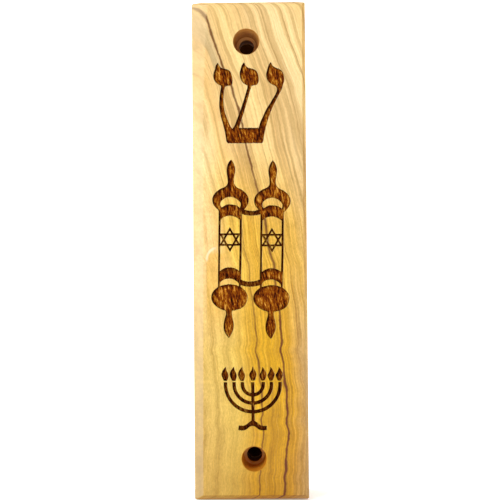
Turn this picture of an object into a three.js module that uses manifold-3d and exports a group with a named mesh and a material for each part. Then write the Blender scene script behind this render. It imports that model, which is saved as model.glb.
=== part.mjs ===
// Mezuzah case: a block of olive wood with an engraved front, a scroll chamber in its back,
// a sliding wooden lid over the chamber, and the rolled parchment in its sleeve.
//
// Millimetres. +Z is up along the case, the engraved front faces -Y and the back, which lies
// against the doorpost, faces +Y. The origin is the centre of the block.
import * as THREE from 'three';
import { mergeVertices } from 'three/addons/utils/BufferGeometryUtils.js';
import { ConvexGeometry } from 'three/addons/geometries/ConvexGeometry.js';
import Module from 'manifold-3d';

const wasm = await Module();
wasm.setup();

// ---------------------------------------------------------------- driving dimensions
const WIDTH = 34.4;             // block, along X
const THICKNESS = 19.0;         // block, along Y
const HEIGHT = 150.0;           // block, along Z

// Hand-sanded chamfers round the front face: run across the face, and depth into the block.
const CHAMFER_LEFT_TOP = [5.1, 1.6];      // the left one widens towards the top
const CHAMFER_LEFT_BOTTOM = [2.8, 1.4];
const CHAMFER_RIGHT = [1.1, 1.0];
const CHAMFER_TOP = [0.8, 0.5];
const CHAMFER_BOTTOM = [1.5, 1.3];
const EDGE_BREAK = 0.3;                   // small break on the back and the upright corners

// Screw holes: a tapered countersink with a flat ledge, then a plain bore for a 4 mm screw.
const HOLE_TOP = [-0.67, 63.01];
const HOLE_BOTTOM = [0.79, -62.74];
const SINK_MOUTH_D = 7.75;
const SINK_FLOOR_D = 6.4;
const SINK_DEPTH = 9.0;
const BORE_D = 4.55;

const ENGRAVE_DEPTH = 0.9;

// Scroll chamber in the back.
const CHAMBER_W = 11.8;
const CHAMBER_Z = [-56.5, 56.5];
const CHAMBER_FRONT_Y = -4.5;

// Dovetail track for the lid, closed at the bottom and open at the top end of the block.
const TRACK_DEPTH = 3.0;
const TRACK_W_MOUTH = 14.8;     // at the back face
const TRACK_W_FLOOR = 16.8;     // at the track's floor
const TRACK_BOTTOM_Z = -58.8;

const LID_GAP = 0.3;
const LID_T = 2.4;
const LID_TOP_Z = 59.5;
const LID_NOTCH = [9.0, 2.4, 1.0];   // thumb notch: width, height, depth
const LID_NOTCH_Z = 54.0;

// Parchment: one long strip rolled from its left edge, without writing.
const KLAF_HEIGHT = 101.0;
const KLAF_TURNS = 3.25;
const KLAF_T = 0.32;
const KLAF_PITCH = 0.72;
const KLAF_INNER_R = 1.75;

// Sleeve: an open-ended tube of thin clear film round the roll.
const SLEEVE_OUTER_R = 5.15;
const SLEEVE_T = 0.3;
const SLEEVE_HEIGHT = 104.0;

// ---------------------------------------------------------------- engraving outlines, [x, z]
// The letter shin, the left roller of the scroll with its openings, the two ties between
// the rollers, and the foot and flames of the menorah.
const SHIN = [
  [-9.27, 56.66], [-9.85, 55.88], [-10.1, 54.86], [-10.5, 53.72], [-10.63, 52.51], [-10.4, 51.45],
  [-9.8, 50.61], [-9.09, 50.06], [-8.39, 49.75], [-8.34, 49.18], [-8.56, 47.97], [-8.75, 46.77],
  [-8.87, 45.26], [-8.91, 43.76], [-8.76, 42.25], [-8.44, 40.44], [-7.97, 38.63], [-7.5, 36.81],
  [-7.21, 35.46], [-6.98, 33.95], [-6.81, 32.89], [-6.48, 32.32], [3.95, 32.29], [4.22, 32.98],
  [4.44, 34.31], [4.79, 35.96], [5.22, 37.77], [5.78, 39.57], [6.43, 41.41], [7.26, 43.33],
  [8.05, 44.89], [8.94, 46.63], [9.61, 47.83], [10.01, 48.76], [10.29, 49.79], [10.66, 50.72],
  [10.7, 51.92], [10.5, 52.95], [10.05, 53.92], [9.36, 54.52], [8.55, 54.8], [7.77, 55.2],
  [7.17, 55.69], [6.85, 56.41], [6.64, 56.63], [6.06, 55.73], [5.69, 54.52], [5.38, 53.35],
  [5.4, 52.26], [5.69, 51.3], [6.29, 50.51], [7.16, 49.96], [7.91, 49.62], [8.39, 49.08],
  [8.53, 48.29], [8.28, 47.42], [7.73, 46.37], [7, 45.2], [6.24, 43.94], [5.44, 42.74],
  [4.74, 41.33], [4.03, 39.8], [3.42, 38.45], [2.93, 36.79], [-3.04, 36.81], [-2.76, 37.83],
  [-2.27, 39.46], [-1.65, 41.26], [-1.22, 42.67], [-0.94, 43.72], [-0.54, 44.99], [-0.1, 46.4],
  [0.24, 47.84], [0.61, 48.81], [0.86, 49.62], [1.67, 49.73], [2.46, 49.97], [2.92, 50.75],
  [3.01, 51.86], [2.81, 52.98], [2.37, 53.95], [1.56, 54.59], [0.6, 54.83], [-0.28, 55.14],
  [-0.9, 55.72], [-1.26, 56.45], [-1.44, 56.69], [-2.05, 55.79], [-2.36, 54.71], [-2.67, 53.65],
  [-2.59, 52.39], [-2.26, 51.36], [-1.7, 50.54], [-0.98, 50.02], [-0.41, 49.75], [-0.38, 49.18],
  [-0.6, 48.24], [-1.03, 46.77], [-1.5, 45.27], [-1.96, 43.88], [-2.45, 42.44], [-3.04, 40.88],
  [-3.66, 39.26], [-4.18, 37.9], [-4.76, 36.91], [-5.06, 36.67], [-5.36, 37.01], [-5.84, 37.89],
  [-6.37, 39.1], [-6.87, 40.43], [-7.28, 41.63], [-7.51, 42.9], [-7.65, 44.41], [-7.67, 45.86],
  [-7.58, 47.36], [-7.41, 48.51], [-7.16, 49.41], [-6.62, 49.59], [-5.65, 49.79], [-5.08, 50.06],
  [-4.92, 50.96], [-4.97, 52.04], [-5.2, 53.07], [-5.59, 53.98], [-6.31, 54.53], [-7.24, 54.81],
  [-8.14, 55.05], [-8.65, 55.51], [-9.01, 56.12],
];
const ROLLER_L = [
  [-5.51, 27.3], [-4.96, 26.58], [-4.58, 25.64], [-4.34, 24.61], [-4.38, 23.53], [-4.6, 22.32],
  [-4.75, 21.12], [-4.71, 20.22], [-4.41, 19.55], [-3.87, 18.94], [-3.12, 18.49], [-2.4, 18.15],
  [-1.66, 17.57], [-1, 16.9], [-0.52, 16.02], [-0.33, 15.06], [-0.51, 14.06], [-0.97, 13.16],
  [-1.51, 12.47], [-2.39, 11.7], [-2.43, 9.05], [-2.52, 3.02], [-2.63, -3.01], [-2.82, -7.53],
  [-2.94, -11.08], [-2.49, -11.45], [-1.74, -12.15], [-1.17, -12.97], [-0.88, -13.99],
  [-1.07, -15.08], [-1.38, -16.01], [-1.93, -16.79], [-2.71, -17.38], [-3.65, -17.77],
  [-4.65, -18.03], [-5.52, -18.12], [-5.62, -18.6], [-5.62, -19.26], [-5.48, -20.32],
  [-5.26, -21.37], [-5.13, -22.28], [-5.16, -23.18], [-5.36, -24.08], [-5.76, -25.02],
  [-6.22, -25.92], [-6.55, -26.37], [-6.79, -26.09], [-7.3, -25.49], [-7.74, -24.67],
  [-7.98, -23.88], [-8.08, -22.95], [-7.99, -21.95], [-7.81, -21.05], [-7.56, -20.15],
  [-7.34, -19.31], [-7.39, -18.52], [-7.57, -18.07], [-8.5, -17.82], [-9.49, -17.36],
  [-10.39, -16.72], [-11.11, -15.93], [-11.59, -14.99], [-11.7, -14.09], [-11.54, -13.19],
  [-11.05, -12.29], [-10.38, -11.6], [-9.66, -11.09], [-9.63, -7.47], [-9.53, -2.95],
  [-9.45, 3.07], [-9.35, 8.5], [-9.27, 11.78], [-9.5, 12.24], [-10.16, 12.84], [-10.76, 13.6],
  [-11.08, 14.36], [-11.18, 15.29], [-10.98, 16.26], [-10.43, 17.16], [-9.67, 17.87],
  [-8.82, 18.44], [-8.04, 18.76], [-7.34, 19.12], [-6.79, 19.63], [-6.52, 20.23], [-6.51, 21.13],
  [-6.62, 22.34], [-6.79, 23.55], [-6.75, 24.6], [-6.52, 25.72], [-6.08, 26.62],
];
const CRESCENT_TOP_L = [
  [-8.5, 12.89], [-8.95, 13.71], [-8.7, 14.64], [-8.08, 15.3], [-7.12, 15.88], [-6.16, 16.08],
  [-5.16, 16.03], [-4.2, 15.63], [-3.3, 14.93], [-2.68, 14.11], [-2.7, 13.3], [-2.99, 12.67],
  [-3.44, 13.12], [-4.1, 13.46], [-4.97, 13.68], [-5.93, 13.79], [-6.84, 13.72], [-7.6, 13.4],
  [-8.11, 13.04],
];
const PANEL_L = [
  [-8.83, 9.25], [-8.23, 9.75], [-7.47, 10.17], [-6.56, 10.4], [-5.66, 10.43], [-4.76, 10.21],
  [-3.86, 9.81], [-2.94, 9.14], [-3.02, 3.02], [-3.17, -3], [-3.29, -6.32], [-4.16, -5.74],
  [-5.18, -5.31], [-6.2, -5.21], [-7.29, -5.32], [-8.2, -5.71], [-9.14, -6.33], [-9.1, -2.96],
  [-8.97, 3.07],
];
const CRESCENT_BOT_L = [
  [-9.17, -10.85], [-9.16, -9.89], [-8.72, -9.29], [-7.89, -8.8], [-7.01, -8.58], [-6.11, -8.54],
  [-5.21, -8.71], [-4.37, -9.17], [-3.71, -9.69], [-3.35, -10.24], [-3.39, -10.96],
  [-4.17, -10.59], [-5.1, -10.4], [-6.12, -10.3], [-7.24, -10.39], [-8.27, -10.59],
];
const LINK_TOP = [
  [-2.03, 12.3], [-1.43, 12.08], [-0.64, 11.9], [0.62, 11.73], [1.83, 11.85], [2.61, 12.11],
  [3.4, 12.44], [3.99, 10.92], [3.08, 10.75], [1.82, 10.52], [0.61, 10.41], [-0.57, 10.51],
  [-1.71, 10.7], [-2.7, 11.1],
];
const LINK_BOT = [
  [-2.98, -8.79], [-1.96, -9.31], [-0.69, -9.56], [0.48, -9.54], [1.69, -9.34], [3.02, -8.87],
  [3.41, -8.6], [3.58, -10.35], [2.67, -10.58], [1.65, -10.85], [0.47, -10.97], [-0.85, -10.93],
  [-1.94, -10.76], [-3.05, -10.36],
];
const FOOT = [
  [0, -51.31], [-0.84, -51.91], [-1.6, -52.51], [-2.39, -52.83], [-3.77, -52.76], [-3.88, -54.06],
  [-2.43, -54.13], [-1.52, -53.83], [-0.76, -53.27], [-0.16, -52.91], [0.47, -52.81],
  [1.08, -52.98], [1.82, -53.59], [2.54, -53.98], [3.45, -54.13], [4.56, -54.03], [4.63, -52.89],
  [3.34, -52.91], [2.56, -52.57], [1.84, -51.93], [0.94, -51.32],
];
const FLAMES = [
  [[-7.6, -35.07], [-8.13, -35.7], [-8.59, -36.42], [-8.84, -37.44], [-8.54, -38.38], [-8.16, -39.22], [-7.23, -39.29], [-6.95, -38.54], [-6.79, -37.76], [-7.03, -36.88], [-7.41, -36.12]],
  [[-5.11, -35.09], [-5.65, -35.72], [-6.1, -36.44], [-6.35, -37.46], [-6.06, -38.4], [-5.67, -39.24], [-4.74, -39.31], [-4.46, -38.56], [-4.31, -37.78], [-4.54, -36.9], [-4.93, -36.14]],
  [[-2.63, -35.11], [-3.16, -35.74], [-3.62, -36.46], [-3.87, -37.48], [-3.57, -38.41], [-3.19, -39.26], [-2.25, -39.33], [-1.98, -38.58], [-1.82, -37.8], [-2.05, -36.92], [-2.44, -36.16]],
  [[0.54, -35.04], [0.26, -36], [-0.24, -36.84], [-0.51, -37.69], [-0.14, -38.59], [0.13, -39.26], [1.12, -39.18], [1.42, -38.3], [1.62, -37.37], [1.33, -36.49], [0.85, -35.71]],
  [[3.51, -35.16], [3.32, -36], [2.98, -36.78], [2.54, -37.68], [2.88, -38.62], [3.2, -39.28], [4.02, -39.2], [4.39, -38.39], [4.63, -37.33], [4.28, -36.37], [3.83, -35.67]],
  [[5.95, -35.17], [5.76, -36.02], [5.42, -36.8], [4.98, -37.7], [5.32, -38.64], [5.64, -39.3], [6.46, -39.22], [6.83, -38.41], [7.08, -37.35], [6.72, -36.39], [6.28, -35.69]],
  [[8.42, -35.19], [8.23, -36.04], [7.89, -36.82], [7.45, -37.72], [7.79, -38.65], [8.12, -39.32], [8.93, -39.24], [9.3, -38.43], [9.55, -37.37], [9.19, -36.41], [8.75, -35.71]],
];

const ROLLER_SHIFT = [12.62, -0.37];          // right roller, from the left one
const STARS = [[-6.02, 3.2], [6.66, 2.93]];   // centres of the two six-pointed stars
const STAR_R = 3.72;
const STAR_LINE = 0.54;
const MENORAH_CENTRE = [0.52, -40.4];
const MENORAH_RADII = [3.13, 5.61, 8.2];
const MENORAH_TOP_Z = -39.75;
const MENORAH_LINE = 0.96;
const MENORAH_STEM_BOTTOM_Z = -52.2;

// ---------------------------------------------------------------- helpers
const FRONT = -THICKNESS / 2;
const BACK = THICKNESS / 2;

function toSolid(geometry, matrix) {
  const g = geometry.clone();
  g.deleteAttribute('normal');
  g.deleteAttribute('uv');
  if (matrix) g.applyMatrix4(matrix);
  const m = mergeVertices(g, 1e-5);
  const index = m.index.array;
  return new wasm.Manifold(new wasm.Mesh({
    numProp: 3,
    vertProperties: new Float32Array(m.attributes.position.array),
    triVerts: new Uint32Array(index),
  }));
}

function toGeometry(solid) {
  const mesh = solid.getMesh();
  const pos = new Float32Array((mesh.vertProperties.length / mesh.numProp) * 3);
  for (let i = 0; i < pos.length / 3; i++) {
    for (let k = 0; k < 3; k++) pos[3 * i + k] = mesh.vertProperties[mesh.numProp * i + k];
  }
  const g = new THREE.BufferGeometry();
  g.setAttribute('position', new THREE.BufferAttribute(pos, 3));
  g.setIndex(new THREE.BufferAttribute(new Uint32Array(mesh.triVerts), 1));
  g.computeVertexNormals();
  return g;
}

// Leaves out points that lie on the straight line between their neighbours.
function tidy(points) {
  let pts = points.slice();
  for (let pass = 0; pass < 3; pass++) {
    pts = pts.filter((p, i) => {
      const a = pts[(i + pts.length - 1) % pts.length], b = pts[(i + 1) % pts.length];
      const ux = p[0] - a[0], uz = p[1] - a[1], vx = b[0] - p[0], vz = b[1] - p[1];
      const lu = Math.hypot(ux, uz), lv = Math.hypot(vx, vz);
      return lu > 1e-4 && Math.abs(ux * vz - uz * vx) > 1e-3 * lu * lv;
    });
  }
  return pts.map((p) => new THREE.Vector2(p[0], p[1]));
}

function shapeOf(points, holes = []) {
  const shape = new THREE.Shape(tidy(points));
  for (const h of holes) shape.holes.push(new THREE.Path(tidy(h)));
  return shape;
}

// Extrudes an [x, z] shape along Y, from y0 to y1.
function plate(shape, y0, y1) {
  const g = new THREE.ExtrudeGeometry(shape, { depth: y1 - y0, bevelEnabled: false, steps: 1 });
  // The shape's (x, y, z) becomes (x, -z, y): its plane stands up, and its depth runs along -Y.
  const m = new THREE.Matrix4().set(
    1, 0, 0, 0,
    0, 0, -1, y1,
    0, 1, 0, 0,
    0, 0, 0, 1,
  );
  return toSolid(g, m);
}

function moved(points, dx, dz) {
  return points.map((p) => [p[0] + dx, p[1] + dz]);
}

function box(x0, x1, y0, y1, z0, z1) {
  const g = new THREE.BoxGeometry(x1 - x0, y1 - y0, z1 - z0);
  return toSolid(g, new THREE.Matrix4().makeTranslation((x0 + x1) / 2, (y0 + y1) / 2, (z0 + z1) / 2));
}

function convex(points) {
  return toSolid(new ConvexGeometry(points.map((p) => new THREE.Vector3(p[0], p[1], p[2]))));
}

// A wedge that takes a chamfer off one front edge: a triangle at each end, run between them.
function wedge(endA, endB) {
  return convex([...endA, ...endB]);
}

// ---------------------------------------------------------------- the case body
function chamfered(block) {
  const w = WIDTH / 2, h = HEIGHT / 2, o = 1.0;
  // Each triangle: the point on the face, the point on the side, and a point well outside.
  const tri = (run, depth, toXYZ) => {
    const slope = depth / run;
    return [
      toXYZ(run + o, -o * slope),      // on past the face
      toXYZ(-o, depth + o * slope),    // on past the side
      toXYZ(-o, -o * slope),
    ];
  };
  const left = (z, c) => tri(c[0], c[1], (r, d) => [-w + r, FRONT + d, z]);
  const right = (z, c) => tri(c[0], c[1], (r, d) => [w - r, FRONT + d, z]);
  const top = (x, c) => tri(c[0], c[1], (r, d) => [x, FRONT + d, h - r]);
  const bottom = (x, c) => tri(c[0], c[1], (r, d) => [x, FRONT + d, -h + r]);
  let s = block;
  s = s.subtract(wedge(left(h + 2, CHAMFER_LEFT_TOP), left(-h - 2, CHAMFER_LEFT_BOTTOM)));
  s = s.subtract(wedge(right(h + 2, CHAMFER_RIGHT), right(-h - 2, CHAMFER_RIGHT)));
  s = s.subtract(wedge(top(-w - 2, CHAMFER_TOP), top(w + 2, CHAMFER_TOP)));
  s = s.subtract(wedge(bottom(-w - 2, CHAMFER_BOTTOM), bottom(w + 2, CHAMFER_BOTTOM)));
  return s;
}

function screwHole([x, z]) {
  const y0 = FRONT, over = 1.0;
  const flare = (SINK_MOUTH_D - SINK_FLOOR_D) / 2 / SINK_DEPTH;
  const profile = [
    [0, y0 - over],
    [SINK_MOUTH_D / 2 + flare * over, y0 - over],
    [SINK_FLOOR_D / 2, y0 + SINK_DEPTH],
    [BORE_D / 2, y0 + SINK_DEPTH],
    [BORE_D / 2, BACK + over],
    [0, BACK + over],
  ].map((p) => new THREE.Vector2(p[0], p[1]));
  return toSolid(new THREE.LatheGeometry(profile, 32), new THREE.Matrix4().makeTranslation(x, 0, z));
}

function ring(points, innerScale, cx, cz) {
  return shapeOf(points, [points.map((p) => [cx + (p[0] - cx) * innerScale, cz + (p[1] - cz) * innerScale])]);
}

function triangleRing(cx, cz, r, line, up) {
  const at = (radius) => [0, 1, 2].map((k) => {
    const a = Math.PI / 2 + (k * 2 * Math.PI) / 3 + (up ? 0 : Math.PI);
    return [cx + radius * Math.cos(a), cz + radius * Math.sin(a)];
  });
  return shapeOf(at(r), [at(r - 2 * line)]);
}

function arm(r, line) {
  const [cx, cz] = MENORAH_CENTRE;
  const n = 22, outer = [], inner = [];
  for (let i = 0; i <= n; i++) {
    const a = Math.PI + (i / n) * Math.PI;
    outer.push([cx + (r + line / 2) * Math.cos(a), cz + (r + line / 2) * Math.sin(a)]);
    inner.push([cx + (r - line / 2) * Math.cos(a), cz + (r - line / 2) * Math.sin(a)]);
  }
  const o0 = outer[0][0], o1 = outer[n][0], i0 = inner[0][0], i1 = inner[n][0];
  return shapeOf([
    [o0, MENORAH_TOP_Z], ...outer, [o1, MENORAH_TOP_Z], [i1, MENORAH_TOP_Z],
    ...inner.reverse(), [i0, MENORAH_TOP_Z],
  ]);
}

function engraving() {
  const shapes = [shapeOf(SHIN), shapeOf(LINK_TOP), shapeOf(LINK_BOT), shapeOf(FOOT)];
  for (const [x, z] of STARS) {
    shapes.push(triangleRing(x, z, STAR_R, STAR_LINE, true), triangleRing(x, z, STAR_R, STAR_LINE, false));
  }
  for (const r of MENORAH_RADII) shapes.push(arm(r, MENORAH_LINE));
  const [mx] = MENORAH_CENTRE, hl = MENORAH_LINE / 2;
  shapes.push(shapeOf([
    [mx - hl, MENORAH_STEM_BOTTOM_Z], [mx + hl, MENORAH_STEM_BOTTOM_Z],
    [mx + hl, MENORAH_TOP_Z], [mx - hl, MENORAH_TOP_Z],
  ]));
  for (const f of FLAMES) shapes.push(shapeOf(f));
  // The rollers come first, with the crescents and the star panels left standing in them.
  let all = null;
  for (const [dx, dz] of [[0, 0], ROLLER_SHIFT]) {
    let roller = plate(shapeOf(moved(ROLLER_L, dx, dz)), FRONT - 1, FRONT + ENGRAVE_DEPTH);
    for (const island of [CRESCENT_TOP_L, PANEL_L, CRESCENT_BOT_L]) {
      roller = roller.subtract(plate(shapeOf(moved(island, dx, dz)), FRONT - 2, FRONT + ENGRAVE_DEPTH + 1));
    }
    all = all ? all.add(roller) : roller;
  }
  for (const s of shapes) all = all.add(plate(s, FRONT - 1, FRONT + ENGRAVE_DEPTH));
  return all;
}

function lidTrack() {
  // The dovetail's section in X and Y, run up through the top end. It opens past the back face.
  const over = 1.0;
  const slope = (TRACK_W_FLOOR - TRACK_W_MOUTH) / 2 / TRACK_DEPTH;
  const a = TRACK_W_MOUTH / 2 - slope * over, b = TRACK_W_FLOOR / 2;
  const z0 = TRACK_BOTTOM_Z, z1 = HEIGHT / 2 + 2;
  const yf = BACK - TRACK_DEPTH, yb = BACK + over;
  const pts = [];
  for (const z of [z0, z1]) pts.push([-b, yf, z], [b, yf, z], [a, yb, z], [-a, yb, z]);
  return convex(pts);
}

const w = WIDTH / 2, h = HEIGHT / 2, e = EDGE_BREAK;
// The block's plan: a rectangle with its upright corners just broken.
const plan = [];
for (const z of [-h, h]) {
  const inset = 0;
  plan.push(
    [-w, FRONT + inset, z], [w, FRONT + inset, z],
    [-w, BACK - e, z], [w, BACK - e, z], [-w + e, BACK, z], [w - e, BACK, z],
  );
}
let body = chamfered(convex(plan));
body = body.subtract(screwHole(HOLE_TOP));
body = body.subtract(screwHole(HOLE_BOTTOM));
body = body.subtract(engraving());
body = body.subtract(box(-CHAMBER_W / 2, CHAMBER_W / 2, CHAMBER_FRONT_Y, BACK - TRACK_DEPTH + 0.5, CHAMBER_Z[0], CHAMBER_Z[1]));
body = body.subtract(lidTrack());

// ---------------------------------------------------------------- the sliding lid
function lidSolid() {
  const slope = (TRACK_W_FLOOR - TRACK_W_MOUTH) / 2 / TRACK_DEPTH;
  const side = LID_GAP * Math.hypot(1, slope);
  const yIn = BACK - TRACK_DEPTH + LID_GAP, yOut = yIn + LID_T;
  const half = (y) => TRACK_W_MOUTH / 2 + (BACK - y) * slope - side;
  const z0 = TRACK_BOTTOM_Z + LID_GAP, z1 = LID_TOP_Z, c = 0.5;
  const pts = [];
  for (const z of [z0, z1 - c]) {
    pts.push([-half(yIn), yIn, z], [half(yIn), yIn, z], [half(yOut), yOut, z], [-half(yOut), yOut, z]);
  }
  // The top end is broken back a little, so a thumb can lift it.
  pts.push([-half(yIn) + c, yIn, z1], [half(yIn) - c, yIn, z1]);
  pts.push([half(yOut) - c, yOut - c, z1], [-half(yOut) + c, yOut - c, z1]);
  let lid = convex(pts);
  // Thumb notch: a shallow scoop with a straight catching edge along its top.
  const [nw, nh, nd] = LID_NOTCH;
  const notch = [];
  for (const x of [-nw / 2, nw / 2]) {
    notch.push([x, yOut + 0.5, LID_NOTCH_Z + nh / 2], [x, yOut - nd, LID_NOTCH_Z + nh / 2]);
    notch.push([x, yOut + 0.5, LID_NOTCH_Z - nh - 0.5]);
  }
  lid = lid.subtract(convex(notch));
  return lid;
}

// ---------------------------------------------------------------- parchment and sleeve
const SLEEVE_Y = (CHAMBER_FRONT_Y + (BACK - TRACK_DEPTH + LID_GAP)) / 2;
const SCROLL_Z0 = CHAMBER_Z[0] + 0.4;

function klafSolid() {
  const n = Math.round(KLAF_TURNS * 28), outer = [], inner = [];
  for (let i = 0; i <= n; i++) {
    const a = (i / n) * KLAF_TURNS * 2 * Math.PI;
    const r = KLAF_INNER_R + (KLAF_PITCH * a) / (2 * Math.PI);
    inner.push([r * Math.cos(a), r * Math.sin(a)]);
    outer.push([(r + KLAF_T) * Math.cos(a), (r + KLAF_T) * Math.sin(a)]);
  }
  const shape = shapeOf([...outer, ...inner.reverse()]);
  const g = new THREE.ExtrudeGeometry(shape, { depth: KLAF_HEIGHT, bevelEnabled: false, steps: 1 });
  return toSolid(g);
}

function sleeveSolid() {
  const r = SLEEVE_OUTER_R, t = SLEEVE_T, hh = SLEEVE_HEIGHT;
  const profile = [[r - t, 0], [r, 0], [r, hh], [r - t, hh], [r - t, 0]].map((p) => new THREE.Vector2(p[0], p[1]));
  return toSolid(new THREE.LatheGeometry(profile, 48), new THREE.Matrix4().makeRotationX(Math.PI / 2));
}

// ---------------------------------------------------------------- scene graph
const wood = new THREE.MeshStandardMaterial({ name: 'olive_wood', color: 0xdeb46b, roughness: 0.45, metalness: 0 });
const lidWood = new THREE.MeshStandardMaterial({ name: 'olive_wood_lid', color: 0xcfa05a, roughness: 0.6, metalness: 0 });
const parchment = new THREE.MeshStandardMaterial({ name: 'parchment', color: 0xe8d7ae, roughness: 0.8, metalness: 0 });
const film = new THREE.MeshStandardMaterial({
  name: 'clear_film', color: 0xf2f4f2, roughness: 0.2, metalness: 0, transparent: true, opacity: 0.35,
});

function named(name, solid, material) {
  const mesh = new THREE.Mesh(toGeometry(solid), material);
  mesh.name = name;
  return mesh;
}

const mezuzah = new THREE.Group();
mezuzah.name = 'mezuzah_case';

mezuzah.add(named('case_body', body, wood));

mezuzah.add(named('back_lid', lidSolid(), lidWood));

const scroll = new THREE.Group();
scroll.name = 'scroll';
scroll.position.set(0, SLEEVE_Y, SCROLL_Z0);
const klaf = named('klaf_scroll', klafSolid(), parchment);
klaf.position.z = (SLEEVE_HEIGHT - KLAF_HEIGHT) / 2;
scroll.add(klaf);
const sleeve = named('klaf_sleeve', sleeveSolid(), film);
scroll.add(sleeve);
mezuzah.add(scroll);

export default mezuzah;
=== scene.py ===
"""Looks of the mezuzah case: olive wood block with a laser-engraved front, sliding lid, parchment and sleeve.

The fixed frame is in metres: +Z up along the case, engraved front towards -Y, back towards +Y.
"""

import math
import random

import bpy
import bmesh
from mathutils import Vector, Matrix, noise
from mathutils.geometry import delaunay_2d_cdt
from mathutils.kdtree import KDTree


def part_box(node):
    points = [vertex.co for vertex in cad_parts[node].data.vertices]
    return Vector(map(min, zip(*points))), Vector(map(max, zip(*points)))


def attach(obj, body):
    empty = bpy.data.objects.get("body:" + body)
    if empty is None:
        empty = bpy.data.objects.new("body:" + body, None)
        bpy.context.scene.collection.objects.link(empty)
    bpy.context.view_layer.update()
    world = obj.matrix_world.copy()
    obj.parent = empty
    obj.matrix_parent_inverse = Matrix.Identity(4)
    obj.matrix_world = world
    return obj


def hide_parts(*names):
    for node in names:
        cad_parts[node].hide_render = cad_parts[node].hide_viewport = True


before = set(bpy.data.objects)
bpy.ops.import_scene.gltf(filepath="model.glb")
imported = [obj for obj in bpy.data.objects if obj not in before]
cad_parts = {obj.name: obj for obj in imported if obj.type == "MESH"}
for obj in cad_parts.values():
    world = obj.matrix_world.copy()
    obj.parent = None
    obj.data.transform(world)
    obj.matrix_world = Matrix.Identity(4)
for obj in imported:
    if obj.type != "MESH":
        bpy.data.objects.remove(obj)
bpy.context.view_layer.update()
MM = 0.001
rng = random.Random(7)

# ------------------------------------------------------------------ sizes, from the frame
b_lo, b_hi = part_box("case_body")
XL, XR = b_lo.x / MM, b_hi.x / MM
YF, YB = b_lo.y / MM, b_hi.y / MM
ZB, ZT = b_lo.z / MM, b_hi.z / MM
l_lo, l_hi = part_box("back_lid")
k_lo, k_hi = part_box("klaf_scroll")
s_lo, s_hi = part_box("klaf_sleeve")

HOLES = [(-0.67, 63.01), (0.79, -62.74)]
SINK_MOUTH_R, SINK_FLOOR_R, SINK_DEPTH, BORE_R = 3.875, 3.2, 9.0, 2.275
CHAMBER_W, CHAMBER_Z0, CHAMBER_Z1, CHAMBER_FRONT = 11.8, -56.5, 56.5, -4.5
TRACK_DEPTH, TRACK_MOUTH, TRACK_FLOOR, TRACK_Z0 = 3.0, 14.8, 16.8, -58.8
ENGRAVE = 0.85

# ------------------------------------------------------------------ engraving outlines: x, z in mm, and 1 at a corner
SHIN = [
    (-9.27, 56.66, 1), (-9.85, 55.88), (-10.1, 54.86), (-10.5, 53.72), (-10.63, 52.51), (-10.4, 51.45),
    (-9.8, 50.61), (-9.09, 50.06), (-8.39, 49.75, 1), (-8.34, 49.18), (-8.56, 47.97), (-8.75, 46.77), (-8.87, 45.26),
    (-8.91, 43.76), (-8.76, 42.25), (-8.44, 40.44), (-7.97, 38.63), (-7.5, 36.81), (-7.21, 35.46), (-6.98, 33.95),
    (-6.81, 32.89), (-6.48, 32.32, 1), (3.95, 32.29, 1), (4.22, 32.98), (4.44, 34.31), (4.79, 35.96), (5.22, 37.77),
    (5.78, 39.57), (6.43, 41.41), (7.26, 43.33), (8.05, 44.89), (8.94, 46.63), (9.61, 47.83), (10.01, 48.76),
    (10.29, 49.79), (10.66, 50.72), (10.7, 51.92), (10.5, 52.95), (10.05, 53.92), (9.36, 54.52), (8.55, 54.8),
    (7.77, 55.2), (7.17, 55.69), (6.85, 56.41), (6.64, 56.63, 1), (6.06, 55.73), (5.69, 54.52), (5.38, 53.35),
    (5.4, 52.26), (5.69, 51.3), (6.29, 50.51), (7.16, 49.96), (7.91, 49.62), (8.39, 49.08), (8.53, 48.29),
    (8.28, 47.42), (7.73, 46.37), (7, 45.2), (6.24, 43.94), (5.44, 42.74), (4.74, 41.33), (4.03, 39.8),
    (3.42, 38.45), (2.93, 36.79, 1), (-3.04, 36.81, 1), (-2.76, 37.83), (-2.27, 39.46), (-1.65, 41.26),
    (-1.22, 42.67), (-0.94, 43.72), (-0.54, 44.99), (-0.1, 46.4), (0.24, 47.84), (0.61, 48.81), (0.86, 49.62, 1),
    (1.67, 49.73), (2.46, 49.97), (2.92, 50.75), (3.01, 51.86), (2.81, 52.98), (2.37, 53.95), (1.56, 54.59),
    (0.6, 54.83), (-0.28, 55.14), (-0.9, 55.72), (-1.26, 56.45), (-1.44, 56.69, 1), (-2.05, 55.79), (-2.36, 54.71),
    (-2.67, 53.65), (-2.59, 52.39), (-2.26, 51.36), (-1.7, 50.54), (-0.98, 50.02), (-0.41, 49.75, 1), (-0.38, 49.18),
    (-0.6, 48.24), (-1.03, 46.77), (-1.5, 45.27), (-1.96, 43.88), (-2.45, 42.44), (-3.04, 40.88), (-3.66, 39.26),
    (-4.18, 37.9), (-4.76, 36.91), (-5.06, 36.67, 1), (-5.36, 37.01), (-5.84, 37.89), (-6.37, 39.1), (-6.87, 40.43),
    (-7.28, 41.63), (-7.51, 42.9), (-7.65, 44.41), (-7.67, 45.86), (-7.58, 47.36), (-7.41, 48.51), (-7.16, 49.41, 1),
    (-6.62, 49.59), (-5.65, 49.79), (-5.08, 50.06), (-4.92, 50.96), (-4.97, 52.04), (-5.2, 53.07), (-5.59, 53.98),
    (-6.31, 54.53), (-7.24, 54.81), (-8.14, 55.05), (-8.65, 55.51), (-9.01, 56.12),
]
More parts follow.
